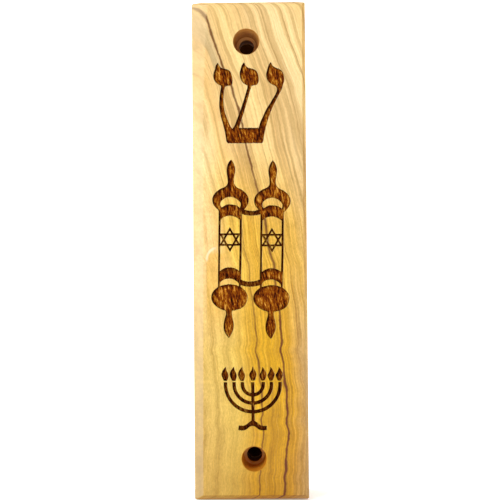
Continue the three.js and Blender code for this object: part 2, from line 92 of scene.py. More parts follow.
ROLLER_L = [
    (-5.51, 27.3, 1), (-4.96, 26.58), (-4.58, 25.64), (-4.34, 24.61), (-4.38, 23.53), (-4.6, 22.32), (-4.75, 21.12),
    (-4.71, 20.22), (-4.41, 19.55), (-3.87, 18.94), (-3.12, 18.49), (-2.4, 18.15), (-1.66, 17.57), (-1, 16.9),
    (-0.52, 16.02), (-0.33, 15.06), (-0.51, 14.06), (-0.97, 13.16), (-1.51, 12.47), (-2.39, 11.7, 1), (-2.43, 9.05),
    (-2.52, 3.02), (-2.63, -3.01), (-2.82, -7.53), (-2.94, -11.08, 1), (-2.49, -11.45), (-1.74, -12.15),
    (-1.17, -12.97), (-0.88, -13.99), (-1.07, -15.08), (-1.38, -16.01), (-1.93, -16.79), (-2.71, -17.38),
    (-3.65, -17.77), (-4.65, -18.03), (-5.52, -18.12, 1), (-5.62, -18.6), (-5.62, -19.26), (-5.48, -20.32),
    (-5.26, -21.37), (-5.13, -22.28), (-5.16, -23.18), (-5.36, -24.08), (-5.76, -25.02), (-6.22, -25.92),
    (-6.55, -26.37, 1), (-6.79, -26.09), (-7.3, -25.49), (-7.74, -24.67), (-7.98, -23.88), (-8.08, -22.95),
    (-7.99, -21.95), (-7.81, -21.05), (-7.56, -20.15), (-7.34, -19.31), (-7.39, -18.52), (-7.57, -18.07, 1),
    (-8.5, -17.82), (-9.49, -17.36), (-10.39, -16.72), (-11.11, -15.93), (-11.59, -14.99), (-11.7, -14.09),
    (-11.54, -13.19), (-11.05, -12.29), (-10.38, -11.6), (-9.66, -11.09, 1), (-9.63, -7.47), (-9.53, -2.95),
    (-9.45, 3.07), (-9.35, 8.5), (-9.27, 11.78, 1), (-9.5, 12.24), (-10.16, 12.84), (-10.76, 13.6), (-11.08, 14.36),
    (-11.18, 15.29), (-10.98, 16.26), (-10.43, 17.16), (-9.67, 17.87), (-8.82, 18.44), (-8.04, 18.76),
    (-7.34, 19.12), (-6.79, 19.63), (-6.52, 20.23), (-6.51, 21.13), (-6.62, 22.34), (-6.79, 23.55), (-6.75, 24.6),
    (-6.52, 25.72), (-6.08, 26.62),
]
CRESCENT_TOP_L = [
    (-8.5, 12.89, 1), (-8.95, 13.71), (-8.7, 14.64), (-8.08, 15.3), (-7.12, 15.88), (-6.16, 16.08), (-5.16, 16.03),
    (-4.2, 15.63), (-3.3, 14.93), (-2.68, 14.11), (-2.7, 13.3), (-2.99, 12.67, 1), (-3.44, 13.12), (-4.1, 13.46),
    (-4.97, 13.68), (-5.93, 13.79), (-6.84, 13.72), (-7.6, 13.4), (-8.11, 13.04),
]
PANEL_L = [
    (-8.83, 9.25, 1), (-8.23, 9.75), (-7.47, 10.17), (-6.56, 10.4), (-5.66, 10.43), (-4.76, 10.21), (-3.86, 9.81),
    (-2.94, 9.14, 1), (-3.02, 3.02), (-3.17, -3), (-3.29, -6.32, 1), (-4.16, -5.74), (-5.18, -5.31), (-6.2, -5.21),
    (-7.29, -5.32), (-8.2, -5.71), (-9.14, -6.33, 1), (-9.1, -2.96), (-8.97, 3.07),
]
CRESCENT_BOT_L = [
    (-9.17, -10.85, 1), (-9.16, -9.89), (-8.72, -9.29), (-7.89, -8.8), (-7.01, -8.58), (-6.11, -8.54),
    (-5.21, -8.71), (-4.37, -9.17), (-3.71, -9.69), (-3.35, -10.24), (-3.39, -10.96, 1), (-4.17, -10.59),
    (-5.1, -10.4), (-6.12, -10.3), (-7.24, -10.39), (-8.27, -10.59),
]
LINK_TOP = [
    (-2.03, 12.3, 1), (-1.43, 12.08), (-0.64, 11.9), (0.62, 11.73), (1.83, 11.85), (2.61, 12.11), (3.4, 12.44, 1),
    (3.99, 10.92, 1), (3.08, 10.75), (1.82, 10.52), (0.61, 10.41), (-0.57, 10.51), (-1.71, 10.7), (-2.7, 11.1, 1),
]
LINK_BOT = [
    (-2.98, -8.79, 1), (-1.96, -9.31), (-0.69, -9.56), (0.48, -9.54), (1.69, -9.34), (3.02, -8.87), (3.41, -8.6, 1),
    (3.58, -10.35, 1), (2.67, -10.58), (1.65, -10.85), (0.47, -10.97), (-0.85, -10.93), (-1.94, -10.76),
    (-3.05, -10.36, 1),
]
FOOT = [
    (0, -51.31, 1), (-0.84, -51.91), (-1.6, -52.51), (-2.39, -52.83), (-3.77, -52.76, 1), (-3.88, -54.06, 1),
    (-2.43, -54.13), (-1.52, -53.83), (-0.76, -53.27), (-0.16, -52.91), (0.47, -52.81), (1.08, -52.98),
    (1.82, -53.59), (2.54, -53.98), (3.45, -54.13), (4.56, -54.03, 1), (4.63, -52.89, 1), (3.34, -52.91),
    (2.56, -52.57), (1.84, -51.93), (0.94, -51.32, 1),
]
FLAMES = [
    [(-7.6, -35.07, 1), (-8.13, -35.7), (-8.59, -36.42), (-8.84, -37.44), (-8.54, -38.38), (-8.16, -39.22, 1), (-7.23, -39.29, 1), (-6.95, -38.54), (-6.79, -37.76), (-7.03, -36.88), (-7.41, -36.12)],
    [(-5.11, -35.09, 1), (-5.65, -35.72), (-6.1, -36.44), (-6.35, -37.46), (-6.06, -38.4), (-5.67, -39.24, 1), (-4.74, -39.31, 1), (-4.46, -38.56), (-4.31, -37.78), (-4.54, -36.9), (-4.93, -36.14)],
    [(-2.63, -35.11, 1), (-3.16, -35.74), (-3.62, -36.46), (-3.87, -37.48), (-3.57, -38.41), (-3.19, -39.26, 1), (-2.25, -39.33, 1), (-1.98, -38.58), (-1.82, -37.8), (-2.05, -36.92), (-2.44, -36.16)],
    [(0.54, -35.04, 1), (0.26, -36), (-0.24, -36.84), (-0.51, -37.69), (-0.14, -38.59), (0.13, -39.26, 1), (1.12, -39.18, 1), (1.42, -38.3), (1.62, -37.37), (1.33, -36.49), (0.85, -35.71)],
    [(3.51, -35.16, 1), (3.32, -36), (2.98, -36.78), (2.54, -37.68), (2.88, -38.62), (3.2, -39.28, 1), (4.02, -39.2, 1), (4.39, -38.39), (4.63, -37.33), (4.28, -36.37), (3.83, -35.67)],
    [(5.95, -35.17, 1), (5.76, -36.02), (5.42, -36.8), (4.98, -37.7), (5.32, -38.64), (5.64, -39.3, 1), (6.46, -39.22, 1), (6.83, -38.41), (7.08, -37.35), (6.72, -36.39), (6.28, -35.69)],
    [(8.42, -35.19, 1), (8.23, -36.04), (7.89, -36.82), (7.45, -37.72), (7.79, -38.65), (8.12, -39.32, 1), (8.93, -39.24, 1), (9.3, -38.43), (9.55, -37.37), (9.19, -36.41), (8.75, -35.71)],
]
ROLLER_SHIFT = (12.62, -0.37)
STARS = [(-6.02, 3.2), (6.66, 2.93)]
STAR_R, STAR_LINE = 3.76, 0.56
MENORAH_CENTRE = (0.52, -40.4)
MENORAH_RADII = (3.13, 5.61, 8.2)
MENORAH_TOP_Z, MENORAH_LINE, MENORAH_STEM_BOTTOM_Z = -39.75, 0.96, -52.2


# ------------------------------------------------------------------ outline helpers
def spline(points, step=0.16):
    """Closed Catmull-Rom outline through the points; a point marked 1 is a corner."""
    n = len(points)
    corner = [len(p) > 2 for p in points]
    P = [Vector((p[0], p[1])) for p in points]
    out = []
    for i in range(n):
        p1, p2 = P[i], P[(i + 1) % n]
        p0, p3 = P[i - 1], P[(i + 2) % n]
        d = (p2 - p1).length
        if d < 1e-6:
            continue
        if corner[i]:
            t1 = p2 - p1
        else:
            d0 = max((p1 - p0).length, 1e-6)
            t1 = (p2 - p0) * (d / (d0 + d))
        if corner[(i + 1) % n]:
            t2 = p2 - p1
        else:
            d3 = max((p3 - p2).length, 1e-6)
            t2 = (p3 - p1) * (d / (d + d3))
        k = max(1, int(round(d / step)))
        for j in range(k):
            t = j / k
            a, b = t * t, t * t * t
            out.append(p1 * (2 * b - 3 * a + 1) + t1 * (b - 2 * a + t) + p2 * (-2 * b + 3 * a) + t2 * (b - a))
    return out


def densify(pts, step=0.16):
    out = []
    for i, p in enumerate(pts):
        q = pts[(i + 1) % len(pts)]
        k = max(1, int(round((q - p).length / step)))
        out += [p.lerp(q, j / k) for j in range(k)]
    return out


def area2(pts):
    return sum(pts[i - 1].x * p.y - p.x * pts[i - 1].y for i, p in enumerate(pts))


RASTER = 0.46       # the laser burns in upright lines this far apart


def tooth(x):
    """Ragged line end that the raster leaves on an edge that crosses it, -1 to 1."""
    k = x / RASTER
    c = math.floor(k)
    f = abs((k - c) * 2 - 1)
    return (1 - f ** 1.6) * 2 - 1 + 0.5 * (noise.noise(Vector((c * 3.7, 1.3, 0))))


def burnt(pts, grow=0.0, teeth=0.075):
    """Outline as the laser leaves it: upright edges clean, edges across the raster toothed."""
    n = len(pts)
    s = 1 if area2(pts) > 0 else -1
    out = []
    for i, p in enumerate(pts):
        t = pts[(i + 1) % n] - pts[i - 1]
        if t.length < 1e-9:
            continue
        t.normalize()
        nx, nz = t.y * s, -t.x * s
        w = max(0.0, abs(nz) - 0.35) / 0.65
        d = grow + teeth * w * tooth(p.x)
        d += 0.02 * noise.noise(Vector((p.x * 2.1, p.y * 2.1, 4.0)))
        out.append(Vector((p.x + nx * (grow if w < 0.01 else grow * abs(nx)), p.y + nz * abs(nz) * d + (0 if w > 0.01 else 0))))
    return out


def offset(pts, d):
    n = len(pts)
    s = 1 if area2(pts) > 0 else -1
    out = []
    for i, p in enumerate(pts):
        t = pts[(i + 1) % n] - pts[i - 1]
        if t.length < 1e-9:
            continue
        t.normalize()
        out.append(Vector((p.x + t.y * s * d, p.y - t.x * s * d)))
    return out


def moved(pts, dx, dz):
    return [Vector((p.x + dx, p.y + dz)) for p in pts]


def ring_tri(cx, cz, r, up):
    return [Vector((cx + r * math.cos(math.pi / 2 + k * 2 * math.pi / 3 + (0 if up else math.pi)),
                    cz + r * math.sin(math.pi / 2 + k * 2 * math.pi / 3 + (0 if up else math.pi)))) for k in range(3)]


def arm(r, line):
    cx, cz = MENORAH_CENTRE
    n = max(24, int(r * 10))
    o, i_ = [], []
    for k in range(n + 1):
        a = math.pi + k / n * math.pi
        o.append(Vector((cx + (r + line / 2) * math.cos(a), cz + (r + line / 2) * math.sin(a))))
        i_.append(Vector((cx + (r - line / 2) * math.cos(a), cz + (r - line / 2) * math.sin(a))))
    T = MENORAH_TOP_Z
    return [Vector((o[0].x, T))] + o + [Vector((o[-1].x, T)), Vector((i_[-1].x, T))] + i_[::-1] + [Vector((i_[0].x, T))]


def engraving():
    """(cut outlines, island outlines): an area is cut if it is in more cuts than islands of its own."""
    cuts, isles = [], []
    cuts.append((burnt(spline(SHIN), 0.03, 0.13), None))
    for k, (dx, dz) in enumerate(((0, 0), ROLLER_SHIFT)):
        body = moved(spline(ROLLER_L), dx, dz)
        cuts.append((burnt(body, 0.06, 0.13), k))
        for o in (CRESCENT_TOP_L, PANEL_L, CRESCENT_BOT_L):
            isles.append((burnt(moved(spline(o), dx, dz), -0.06, 0.11), k))
    for o in (LINK_TOP, LINK_BOT, FOOT):
        cuts.append((burnt(spline(o), 0.04, 0.12), None))
    for cx, cz in STARS:
        for up in (True, False):
            cuts.append((densify(ring_tri(cx, cz, STAR_R, up)), ("tri", cx, up)))
            isles.append((densify(ring_tri(cx, cz, STAR_R - 2 * STAR_LINE, up)), ("tri", cx, up)))
    for r in MENORAH_RADII:
        cuts.append((burnt(densify(arm(r, MENORAH_LINE)), 0.04, 0.08), None))
    mx, hl = MENORAH_CENTRE[0], MENORAH_LINE / 2
    stem = [Vector((mx - hl * 0.95, MENORAH_STEM_BOTTOM_Z)), Vector((mx + hl * 0.95, MENORAH_STEM_BOTTOM_Z)),
            Vector((mx + hl, MENORAH_TOP_Z)), Vector((mx - hl, MENORAH_TOP_Z))]
    cuts.append((densify(stem), None))
    for f in FLAMES:
        cuts.append((burnt(spline(f, 0.12), 0.03, 0.05), None))
    return cuts, isles


# ------------------------------------------------------------------ the block's rings
def chamfer_left(z):
    t = (z - ZB) / (ZT - ZB)
    return 2.75 + 1.05 * t + 1.3 * max(0.0, (t - 0.72) / 0.28) ** 1.6, 1.35 + 0.25 * t


CH_R, CH_T, CH_B = (1.1, 1.0), (0.8, 0.5), (1.5, 1.3)


def wob(k, t, amp):
    return amp * (0.5 + 0.5 * noise.noise(Vector((t * 0.045 + 17.3 * k, 3.1 * k, 0.7))))


def ring(kind, s):
    """One closed ring of points round the block, (x, z) with depth behind the front face.
    kind: 'front' s mm inside the chamfer's inner edge; 'chamfer' at fraction s of it; 'side' at depth s;
    'back' s mm in from the side on the back plane."""
    pts = []
    NS, NE, NC = 150, 36, 5

    def corner_of(ix, iz):
        # outer corner, and run/depth of both chamfers there
        x = XL if ix < 0 else XR
        z = ZB if iz < 0 else ZT
        cl = chamfer_left(z) if ix < 0 else CH_R
        ct = CH_B if iz < 0 else CH_T
        return x, z, cl, ct

    def side_point(side, t):
        # t 0..1 along the side, counter-clockwise seen from the front with +x right, +z up
        if side == 0:      # right side, going up
            x, z, c = XR, ZB + (ZT - ZB) * t, CH_R
            n = (1, 0)
            v = z
        elif side == 1:    # top, going left
            x, z, c = XR - (XR - XL) * t, ZT, CH_T
            n = (0, 1)
            v = x
        elif side == 2:    # left side, going down
            x, z = XL, ZT - (ZT - ZB) * t
            c = chamfer_left(z)
            n = (-1, 0)
            v = z
        else:
            x, z, c = XL + (XR - XL) * t, ZB, CH_B
            n = (0, -1)
            v = x
        run = c[0] - wob(side + 1, v, 0.16)
        dep = c[1] - wob(side + 6, v, 0.10)
        return x, z, n, run, dep

    def place(x, z, n, run, dep, v_in=0.0):
        if kind == 'front':
            return run + s, 0.0
        if kind == 'chamfer':
            bulge = 0.06 * 4 * s * (1 - s)
            f = 1 - s
            L = math.hypot(run, dep)
            # bulge pushes the chamfer outwards, as sanding by hand leaves it
            return run * f - bulge * dep / L, dep * s - bulge * run / L
        if kind == 'side':
            return 0.0, s
        if kind == 'back':
            return s, YB - YF
        raise ValueError(kind)

    # The rectangle's four inset lines give each ring's corners.
    def inset(side, t):
        x, z, n, run, dep = side_point(side, t)
        i, d = place(x, z, n, run, dep)
        return i, d

    rc = {'front': 0.5, 'chamfer': 0.55, 'side': 0.6, 'back': 0.55}[kind]
    nsamp = {0: NS, 1: NE, 2: NS, 3: NE}
    # corner points: intersection of neighbouring inset lines, by their values at the corner
    cor = {}
    for a, b, ix, iz in ((3, 0, 1, -1), (0, 1, 1, 1), (1, 2, -1, 1), (2, 3, -1, -1)):
        ia, da = inset(a, 1.0)
        ib, db = inset(b, 0.0)
        hx = ib if b in (0, 2) else ia
        hz = ia if b in (0, 2) else ib
        x = (XR - hx) if ix > 0 else (XL + hx)
        z = (ZT - hz) if iz > 0 else (ZB + hz)
        cor[b] = (x, z, max(da, db) if kind == 'chamfer' else (da + db) / 2)
    order = [0, 1, 2, 3]
    for side in order:
        c0, c1 = cor[side], cor[(side + 1) % 4]
        along = 1 if side in (0, 2) else 0    # which coordinate runs along the side
        a0, a1 = c0[along], c1[along]
        sg = 1 if a1 > a0 else -1
        a0 += sg * rc
        a1 -= sg * rc
        n = nsamp[side]
        full0, full1 = ((ZB, ZT) if side == 0 else (XR, XL) if side == 1 else (ZT, ZB) if side == 2 else (XL, XR))
        row = []
        for k in range(n + 1):
            a = a0 + (a1 - a0) * k / n
            t = (a - full0) / (full1 - full0)
            i, d = inset(side, t)
            # ease the depth to the shared value at the corners
            e0 = max(0.0, 1 - abs(a - a0) / 2.0)
            e1 = max(0.0, 1 - abs(a - a1) / 2.0)
            d = d * (1 - e0) * (1 - e1) + c0[2] * e0 * (1 - e1) + c1[2] * e1 * (1 - e0) if kind == 'chamfer' else d
            if side == 0: p = (XR - i, a, d)
            elif side == 1: p = (a, ZT - i, d)
            elif side == 2: p = (XL + i, a, d)
            else: p = (a, ZB + i, d)
            row.append(p)
        pts.append((row, c1))
    out = []
    for side in range(4):
        row, c1 = pts[side]
        nxt = pts[(side + 1) % 4][0][0]
        out += row
        p, q = row[-1], nxt
        cx, cz = (c1[0], c1[1])
        for k in range(1, NC):
            t = k / NC
            x = (1 - t) ** 2 * p[0] + 2 * t * (1 - t) * cx + t * t * q[0]
            z = (1 - t) ** 2 * p[1] + 2 * t * (1 - t) * cz + t * t * q[1]
            d = (1 - t) * p[2] + t * q[2]
            out.append((x, z, d))
    return out


# ------------------------------------------------------------------ case body mesh
M_WOOD, M_BURNT, M_DRILLED, M_INSIDE = 0, 1, 2, 3


def inside(pt, poly):
    x, y = pt
    c = False
    j = len(poly) - 1
    for i in range(len(poly)):
        a, b = poly[i], poly[j]
        if (a.y > y) != (b.y > y) and x < (b.x - a.x) * (y - a.y) / (b.y - a.y) + a.x:
            c = not c
        j = i
    return c


def soot_and_shade_floor(x, z):
    """Least soot and painted shade on the floor there: thin strokes are burnt darker throughout, partly char and partly
    the painted shade of their narrow grooves.
    """
    if z < -39.5:
        return 0.66
    if z < -33:
        return 0.50
    if -6.5 < z < 9.5 or (abs(x) < 3.2 and (-11.6 < z < -8.2 or 10.2 < z < 12.8)):
        return 0.66
    return 0.35


def floor_depth(x, z):
    """Depth of the burnt floor: upright furrows from the raster, and a rough char on top."""
    f = 0.5 + 0.5 * math.cos(2 * math.pi * x / RASTER)
    d = ENGRAVE - 0.10 * f
    d += 0.05 * noise.noise(Vector((x * 1.6, z * 0.35, 2.0)))
    d += 0.035 * noise.noise(Vector((x * 5.0, z * 1.5, 9.0)))
    return d


def body_mesh():
    cuts, isles = engraving()
    verts, faces, mats, smooth, scorch_and_shade = [], [], [], [], []

    def V(x, y, z, s=0.0):
        verts.append((x * MM, y * MM, z * MM))
        scorch_and_shade.append(s)
        return len(verts) - 1

    def Fc(ids, m, sm=False):
        faces.append(ids)
        mats.append(m)
        smooth.append(sm)

    r0 = ring('front', 0.16)
    guard = ring('front', 0.5)
    co, poly = [], []
    owner = []          # one entry per input face

    def add_poly(pts, tag):
        base = len(co)
        if area2([Vector((p[0], p[1])) for p in pts]) < 0:
            pts = pts[::-1]
        co.extend((p[0], p[1]) for p in pts)
        poly.append(list(range(base, base + len(pts))))
        owner.append(tag)

    add_poly([(p[0], p[1]) for p in r0], ('outer',))
    n_outer = len(r0)
    for k, (pts, key) in enumerate(cuts):
        add_poly(pts, ('cut', k, key))
    for k, (pts, key) in enumerate(isles):
        add_poly(pts, ('isle', k, key))
    # free points: guards round the outlines, the floor's relief
    for p in guard:
        co.append((p[0], p[1]))
    allp = [c[0] for c in cuts]
    boxes = [(min(p.x for p in q), max(p.x for p in q), min(p.y for p in q), max(p.y for p in q)) for q in allp]
    gx = RASTER / 2
    free = 0
    for q, bx in zip(allp, boxes):
        z = bx[2]
        while z < bx[3]:
            kx = math.ceil(bx[0] / gx)
            while kx * gx < bx[1]:
                x = kx * gx
                if inside((x, z), q):
                    co.append((x, z + 0.10 * ((kx % 2) - 0.5)))
                    free += 1
                kx += 1
            z += 0.34
    for pts, key in cuts + isles:
        for s_ in (0.11, -0.11):
            for p in offset(pts, s_):
                co.append((p.x, p.y))
    # a loose net over the plain wood, so no triangle is very long
    z = ZB + 4
    row = 0
    while z < ZT - 3:
        x = XL + 6 + (row % 2) * 1.5
        while x < XR - 3:
            co.append((x, z))
            x += 3.0
        z += 2.6
        row += 1
    res = delaunay_2d_cdt([Vector(c) for c in co], [], poly, 1, 1e-5, True)
    v2, e2, f2, ov, oe, of = res
    # areas between the outlines, each one all plain or all cut
    outer = [Vector((p[0], p[1])) for p in r0]
    fixed = {(min(a, b), max(a, b)) for (a, b), src in zip(e2, oe) if src}
    by_edge = {}
    for k, f in enumerate(f2):
        for a, b in zip(f, f[1:] + f[:1]):
            by_edge.setdefault((min(a, b), max(a, b)), []).append(k)
    kinds = [None] * len(f2)
    shapes = [(key, q, min(p.x for p in q), max(p.x for p in q), min(p.y for p in q), max(p.y for p in q)) for q, key in cuts]
    holes = [(key, q, min(p.x for p in q), max(p.x for p in q), min(p.y for p in q), max(p.y for p in q)) for q, key in isles]

    def tri_area(f):
        (ax, az), (bx, bz), (cx, cz) = (v2[i] for i in f[:3])
        return abs((bx - ax) * (cz - az) - (cx - ax) * (bz - az))

    for k0 in range(len(f2)):
        if kinds[k0] is not None:
            continue
        group, todo = [], [k0]
        kinds[k0] = False
        while todo:
            k = todo.pop()
            group.append(k)
            f = f2[k]
            for a, b in zip(f, f[1:] + f[:1]):
                e = (min(a, b), max(a, b))
                if e in fixed:
                    continue
                for j in by_edge[e]:
                    if kinds[j] is None:
                        kinds[j] = False
                        todo.append(j)
        big = max(group, key=lambda k: tri_area(f2[k]))
        c = [sum(v2[i][d] for i in f2[big]) / 3 for d in (0, 1)]
        hit = lambda rows: {key for key, q, x0, x1, z0, z1 in rows if x0 < c[0] < x1 and z0 < c[1] < z1 and inside(c, q)}
        cut_keys = hit(shapes)
        is_cut = None in cut_keys or bool(cut_keys - hit(holes))
        if not inside(c, outer):
            is_cut = 'out'
        for k in group:
            kinds[k] = is_cut
    f2 = [f for f, k in zip(f2, kinds) if k != 'out']
    kinds = [k for k in kinds if k != 'out']
    # which 2-D points touch plain wood, burnt floor, or both
    top_t, low_t = set(), set()
    for f, cut in zip(f2, kinds):
        (low_t if cut else top_t).update(f)
    edge_pts = top_t & low_t
    outer_pts = {}
    for i, src in enumerate(ov):
        for s in src:
            if s < n_outer:
                outer_pts[s] = i
    top_id, low_id = {}, {}
    for i in top_t:
        x, z = v2[i]
        on = i in edge_pts
        top_id[i] = V(x, YF + (0.035 if on else 0.0), z, 1.0 if on else 0.0)
    near = KDTree(max(1, len(edge_pts)))
    for i in edge_pts:
        near.insert((v2[i][0], v2[i][1], 0.0), i)
    near.balance()
    for i in low_t:
        x, z = v2[i]
        if i in edge_pts:
            low_id[i] = V(x, YF + ENGRAVE - 0.04, z, 1.0)
        else:
            # painted shadow and char: the floor darkens near the outline, most under the left and upper edges, where
            # the light from the upper left leaves it in shade
            hit, _, gap = near.find((x, z, 0.0))
            w = 0.5 + 0.5 * (-0.8 * (hit.x - x) + 0.6 * (hit.y - z)) / max(gap, 1e-6)
            low_id[i] = V(x, YF + floor_depth(x, z), z, max(soot_and_shade_floor(x, z), 0.35 + (0.35 + 0.65 * w) * (0.68 - gap * (3.6 - 2.9 * w))))
    for f, cut in zip(f2, kinds):
        m = low_id if cut else top_id
        ids = [m[i] for i in f]
        # seen from the front (-Y) with x right and z up, counter-clockwise faces outwards
        Fc(ids, M_BURNT if cut else M_WOOD)
    # walls between the top and the floor
    count = {}
    for f, cut in zip(f2, kinds):
        for a, b in zip(f, f[1:] + f[:1]):
            count.setdefault((min(a, b), max(a, b)), []).append((a, b, cut))
    for key, uses in count.items():
        if len(uses) == 2 and uses[0][2] != uses[1][2]:
            a, b, cut = uses[0] if not uses[0][2] else uses[1]     # the plain-wood side's direction
            Fc([top_id[b], top_id[a], low_id[a], low_id[b]], M_BURNT)
    # rings from the front face round to the back
    dep = YB - YF
    seq = [('chamfer', 0.02), ('chamfer', 0.10), ('chamfer', 0.3), ('chamfer', 0.5), ('chamfer', 0.7), ('chamfer', 0.88), ('chamfer', 0.97)]
    rows = [[outer_pts[i] for i in range(n_outer)]]
    rows = [[top_id[i] for i in rows[0]]]
    for kd, s in seq:
        rows.append([V(p[0], YF + p[2], p[1]) for p in ring(kd, s)])
    # just over the chamfer's outer edge, then down the side
    last = ring('chamfer', 1.0)
    side_row = []
    for (x, z, d) in last:
        side_row.append((x, z, d + 0.22))
    def on_side(x, z):
        return x, z
    sr = ring('side', 0.0)
    rows.append([V(sr[i][0], YF + side_row[i][2], sr[i][1]) for i in range(n_outer)])
    base_d = [side_row[i][2] for i in range(n_outer)]
    for f in (0.12, 0.25, 0.4, 0.55, 0.7, 0.85):
        rows.append([V(sr[i][0], YF + base_d[i] + (dep - 0.4 - base_d[i]) * f, sr[i][1]) for i in range(n_outer)])
    rows.append([V(sr[i][0], YB - 0.38, sr[i][1]) for i in range(n_outer)])
    b1 = ring('back', 0.045)
    rows.append([V(p[0], YB - 0.19, p[1]) for p in b1])
    b2 = ring('back', 0.16)
    rows.append([V(p[0], YB - 0.06, p[1]) for p in b2])
    b3 = ring('back', 0.36)
    rows.append([V(p[0], YB, p[1]) for p in b3])
    for r in range(len(rows) - 1):
        A, B = rows[r], rows[r + 1]
        for i in range(n_outer):
            j = (i + 1) % n_outer
            Fc([A[j], A[i], B[i], B[j]], M_WOOD, True)
    Fc(rows[-1], M_WOOD)
    if area2([Vector((p[0], p[1])) for p in b3]) > 0:
        faces[-1] = faces[-1][::-1]
    me = bpy.data.meshes.new("case_body_fine")
    me.from_pydata(verts, [], faces)
    me.polygons.foreach_set("material_index", mats)
    me.polygons.foreach_set("use_smooth", smooth)
    # scorch_and_shade: real scorch along the outlines, and on the burnt floor char with painted shade near the edges
    at = me.attributes.new("scorch_and_shade", 'FLOAT', 'POINT')
    at.data.foreach_set("value", scorch_and_shade)
    me.validate()
    me.update()
    return me, n_outer


def solid(name, verts, faces, mat=0, smooth=False):
    me = bpy.data.meshes.new(name)
    me.from_pydata([tuple(c * MM for c in v) for v in verts], [], faces)
    me.polygons.foreach_set("material_index", [mat] * len(faces))
    me.polygons.foreach_set("use_smooth", [smooth] * len(faces))
    bm = bmesh.new()
    bm.from_mesh(me)
    bmesh.ops.recalc_face_normals(bm, faces=bm.faces)
    bm.to_mesh(me)
    bm.free()
    return me


def prism(name, section, z0, z1, mat):
    """Closed prism of an (x, y) section between two heights."""
    n = len(section)
    verts = [(x, y, z0) for x, y in section] + [(x, y, z1) for x, y in section]
    faces = [[i, (i + 1) % n, n + (i + 1) % n, n + i] for i in range(n)]
    faces += [list(range(n))[::-1], list(range(n, 2 * n))]
    return solid(name, verts, faces, mat)


def lathe_y(name, profile, cx, cz, seg, mat):
    """Closed solid turned about a line along Y: profile of (radius, y), from the axis to the axis."""
    verts, rows = [], []
    for r, y in profile:
        if r < 1e-6:
            verts.append((cx, y, cz))
            rows.append([len(verts) - 1] * seg)
        else:
            rows.append([])
            for k in range(seg):
                a = 2 * math.pi * k / seg
                verts.append((cx + r * math.cos(a), y, cz + r * math.sin(a)))
                rows[-1].append(len(verts) - 1)
    faces = []
    for A, B in zip(rows, rows[1:]):
        for k in range(seg):
            j = (k + 1) % seg
            f = []
            for v in (A[k], A[j], B[j], B[k]):
                if v not in f:
                    f.append(v)
            if len(f) > 2:
                faces.append(f)
    return solid(name, verts, faces, mat, True)


def cut(obj, cutters):
    """Takes the cutters off the object for good."""
    for k, me in enumerate(cutters):
        c = bpy.data.objects.new("cutter", me)
        for m in obj.data.materials:
            c.data.materials.append(m)
        bpy.context.scene.collection.objects.link(c)
        md = obj.modifiers.new("cut", 'BOOLEAN')
        md.operation = 'DIFFERENCE'
        md.object = c
        md.solver = 'MANIFOLD'
        bpy.context.view_layer.update()
        dg = bpy.context.evaluated_depsgraph_get()
        new = bpy.data.meshes.new_from_object(obj.evaluated_get(dg), preserve_all_data_layers=True, depsgraph=dg)
        obj.modifiers.clear()
        old = obj.data
        obj.data = new
        bpy.data.meshes.remove(old)
        bpy.data.objects.remove(c)
        bpy.data.meshes.remove(me)


def place(name, me):
    o = bpy.data.objects.new(name, me)
    bpy.context.scene.collection.objects.link(o)
    return o

# ------------------------------------------------------------------ material helpers
def lin(hexa, k=1.0):
    v = [int(hexa[i:i + 2], 16) / 255 for i in (0, 2, 4)]
    return tuple(min(1.0, (c / 12.92 if c <= 0.04045 else ((c + 0.055) / 1.055) ** 2.4) * k) for c in v) + (1.0,)


def tone(hexa, veil=0.020, light=1.0):
    """Wood albedo for a seen colour: less what the finish reflects, over the light on it."""
    return tuple(max(0.0, (c - veil) / light) for c in lin(hexa)[:3]) + (1.0,)


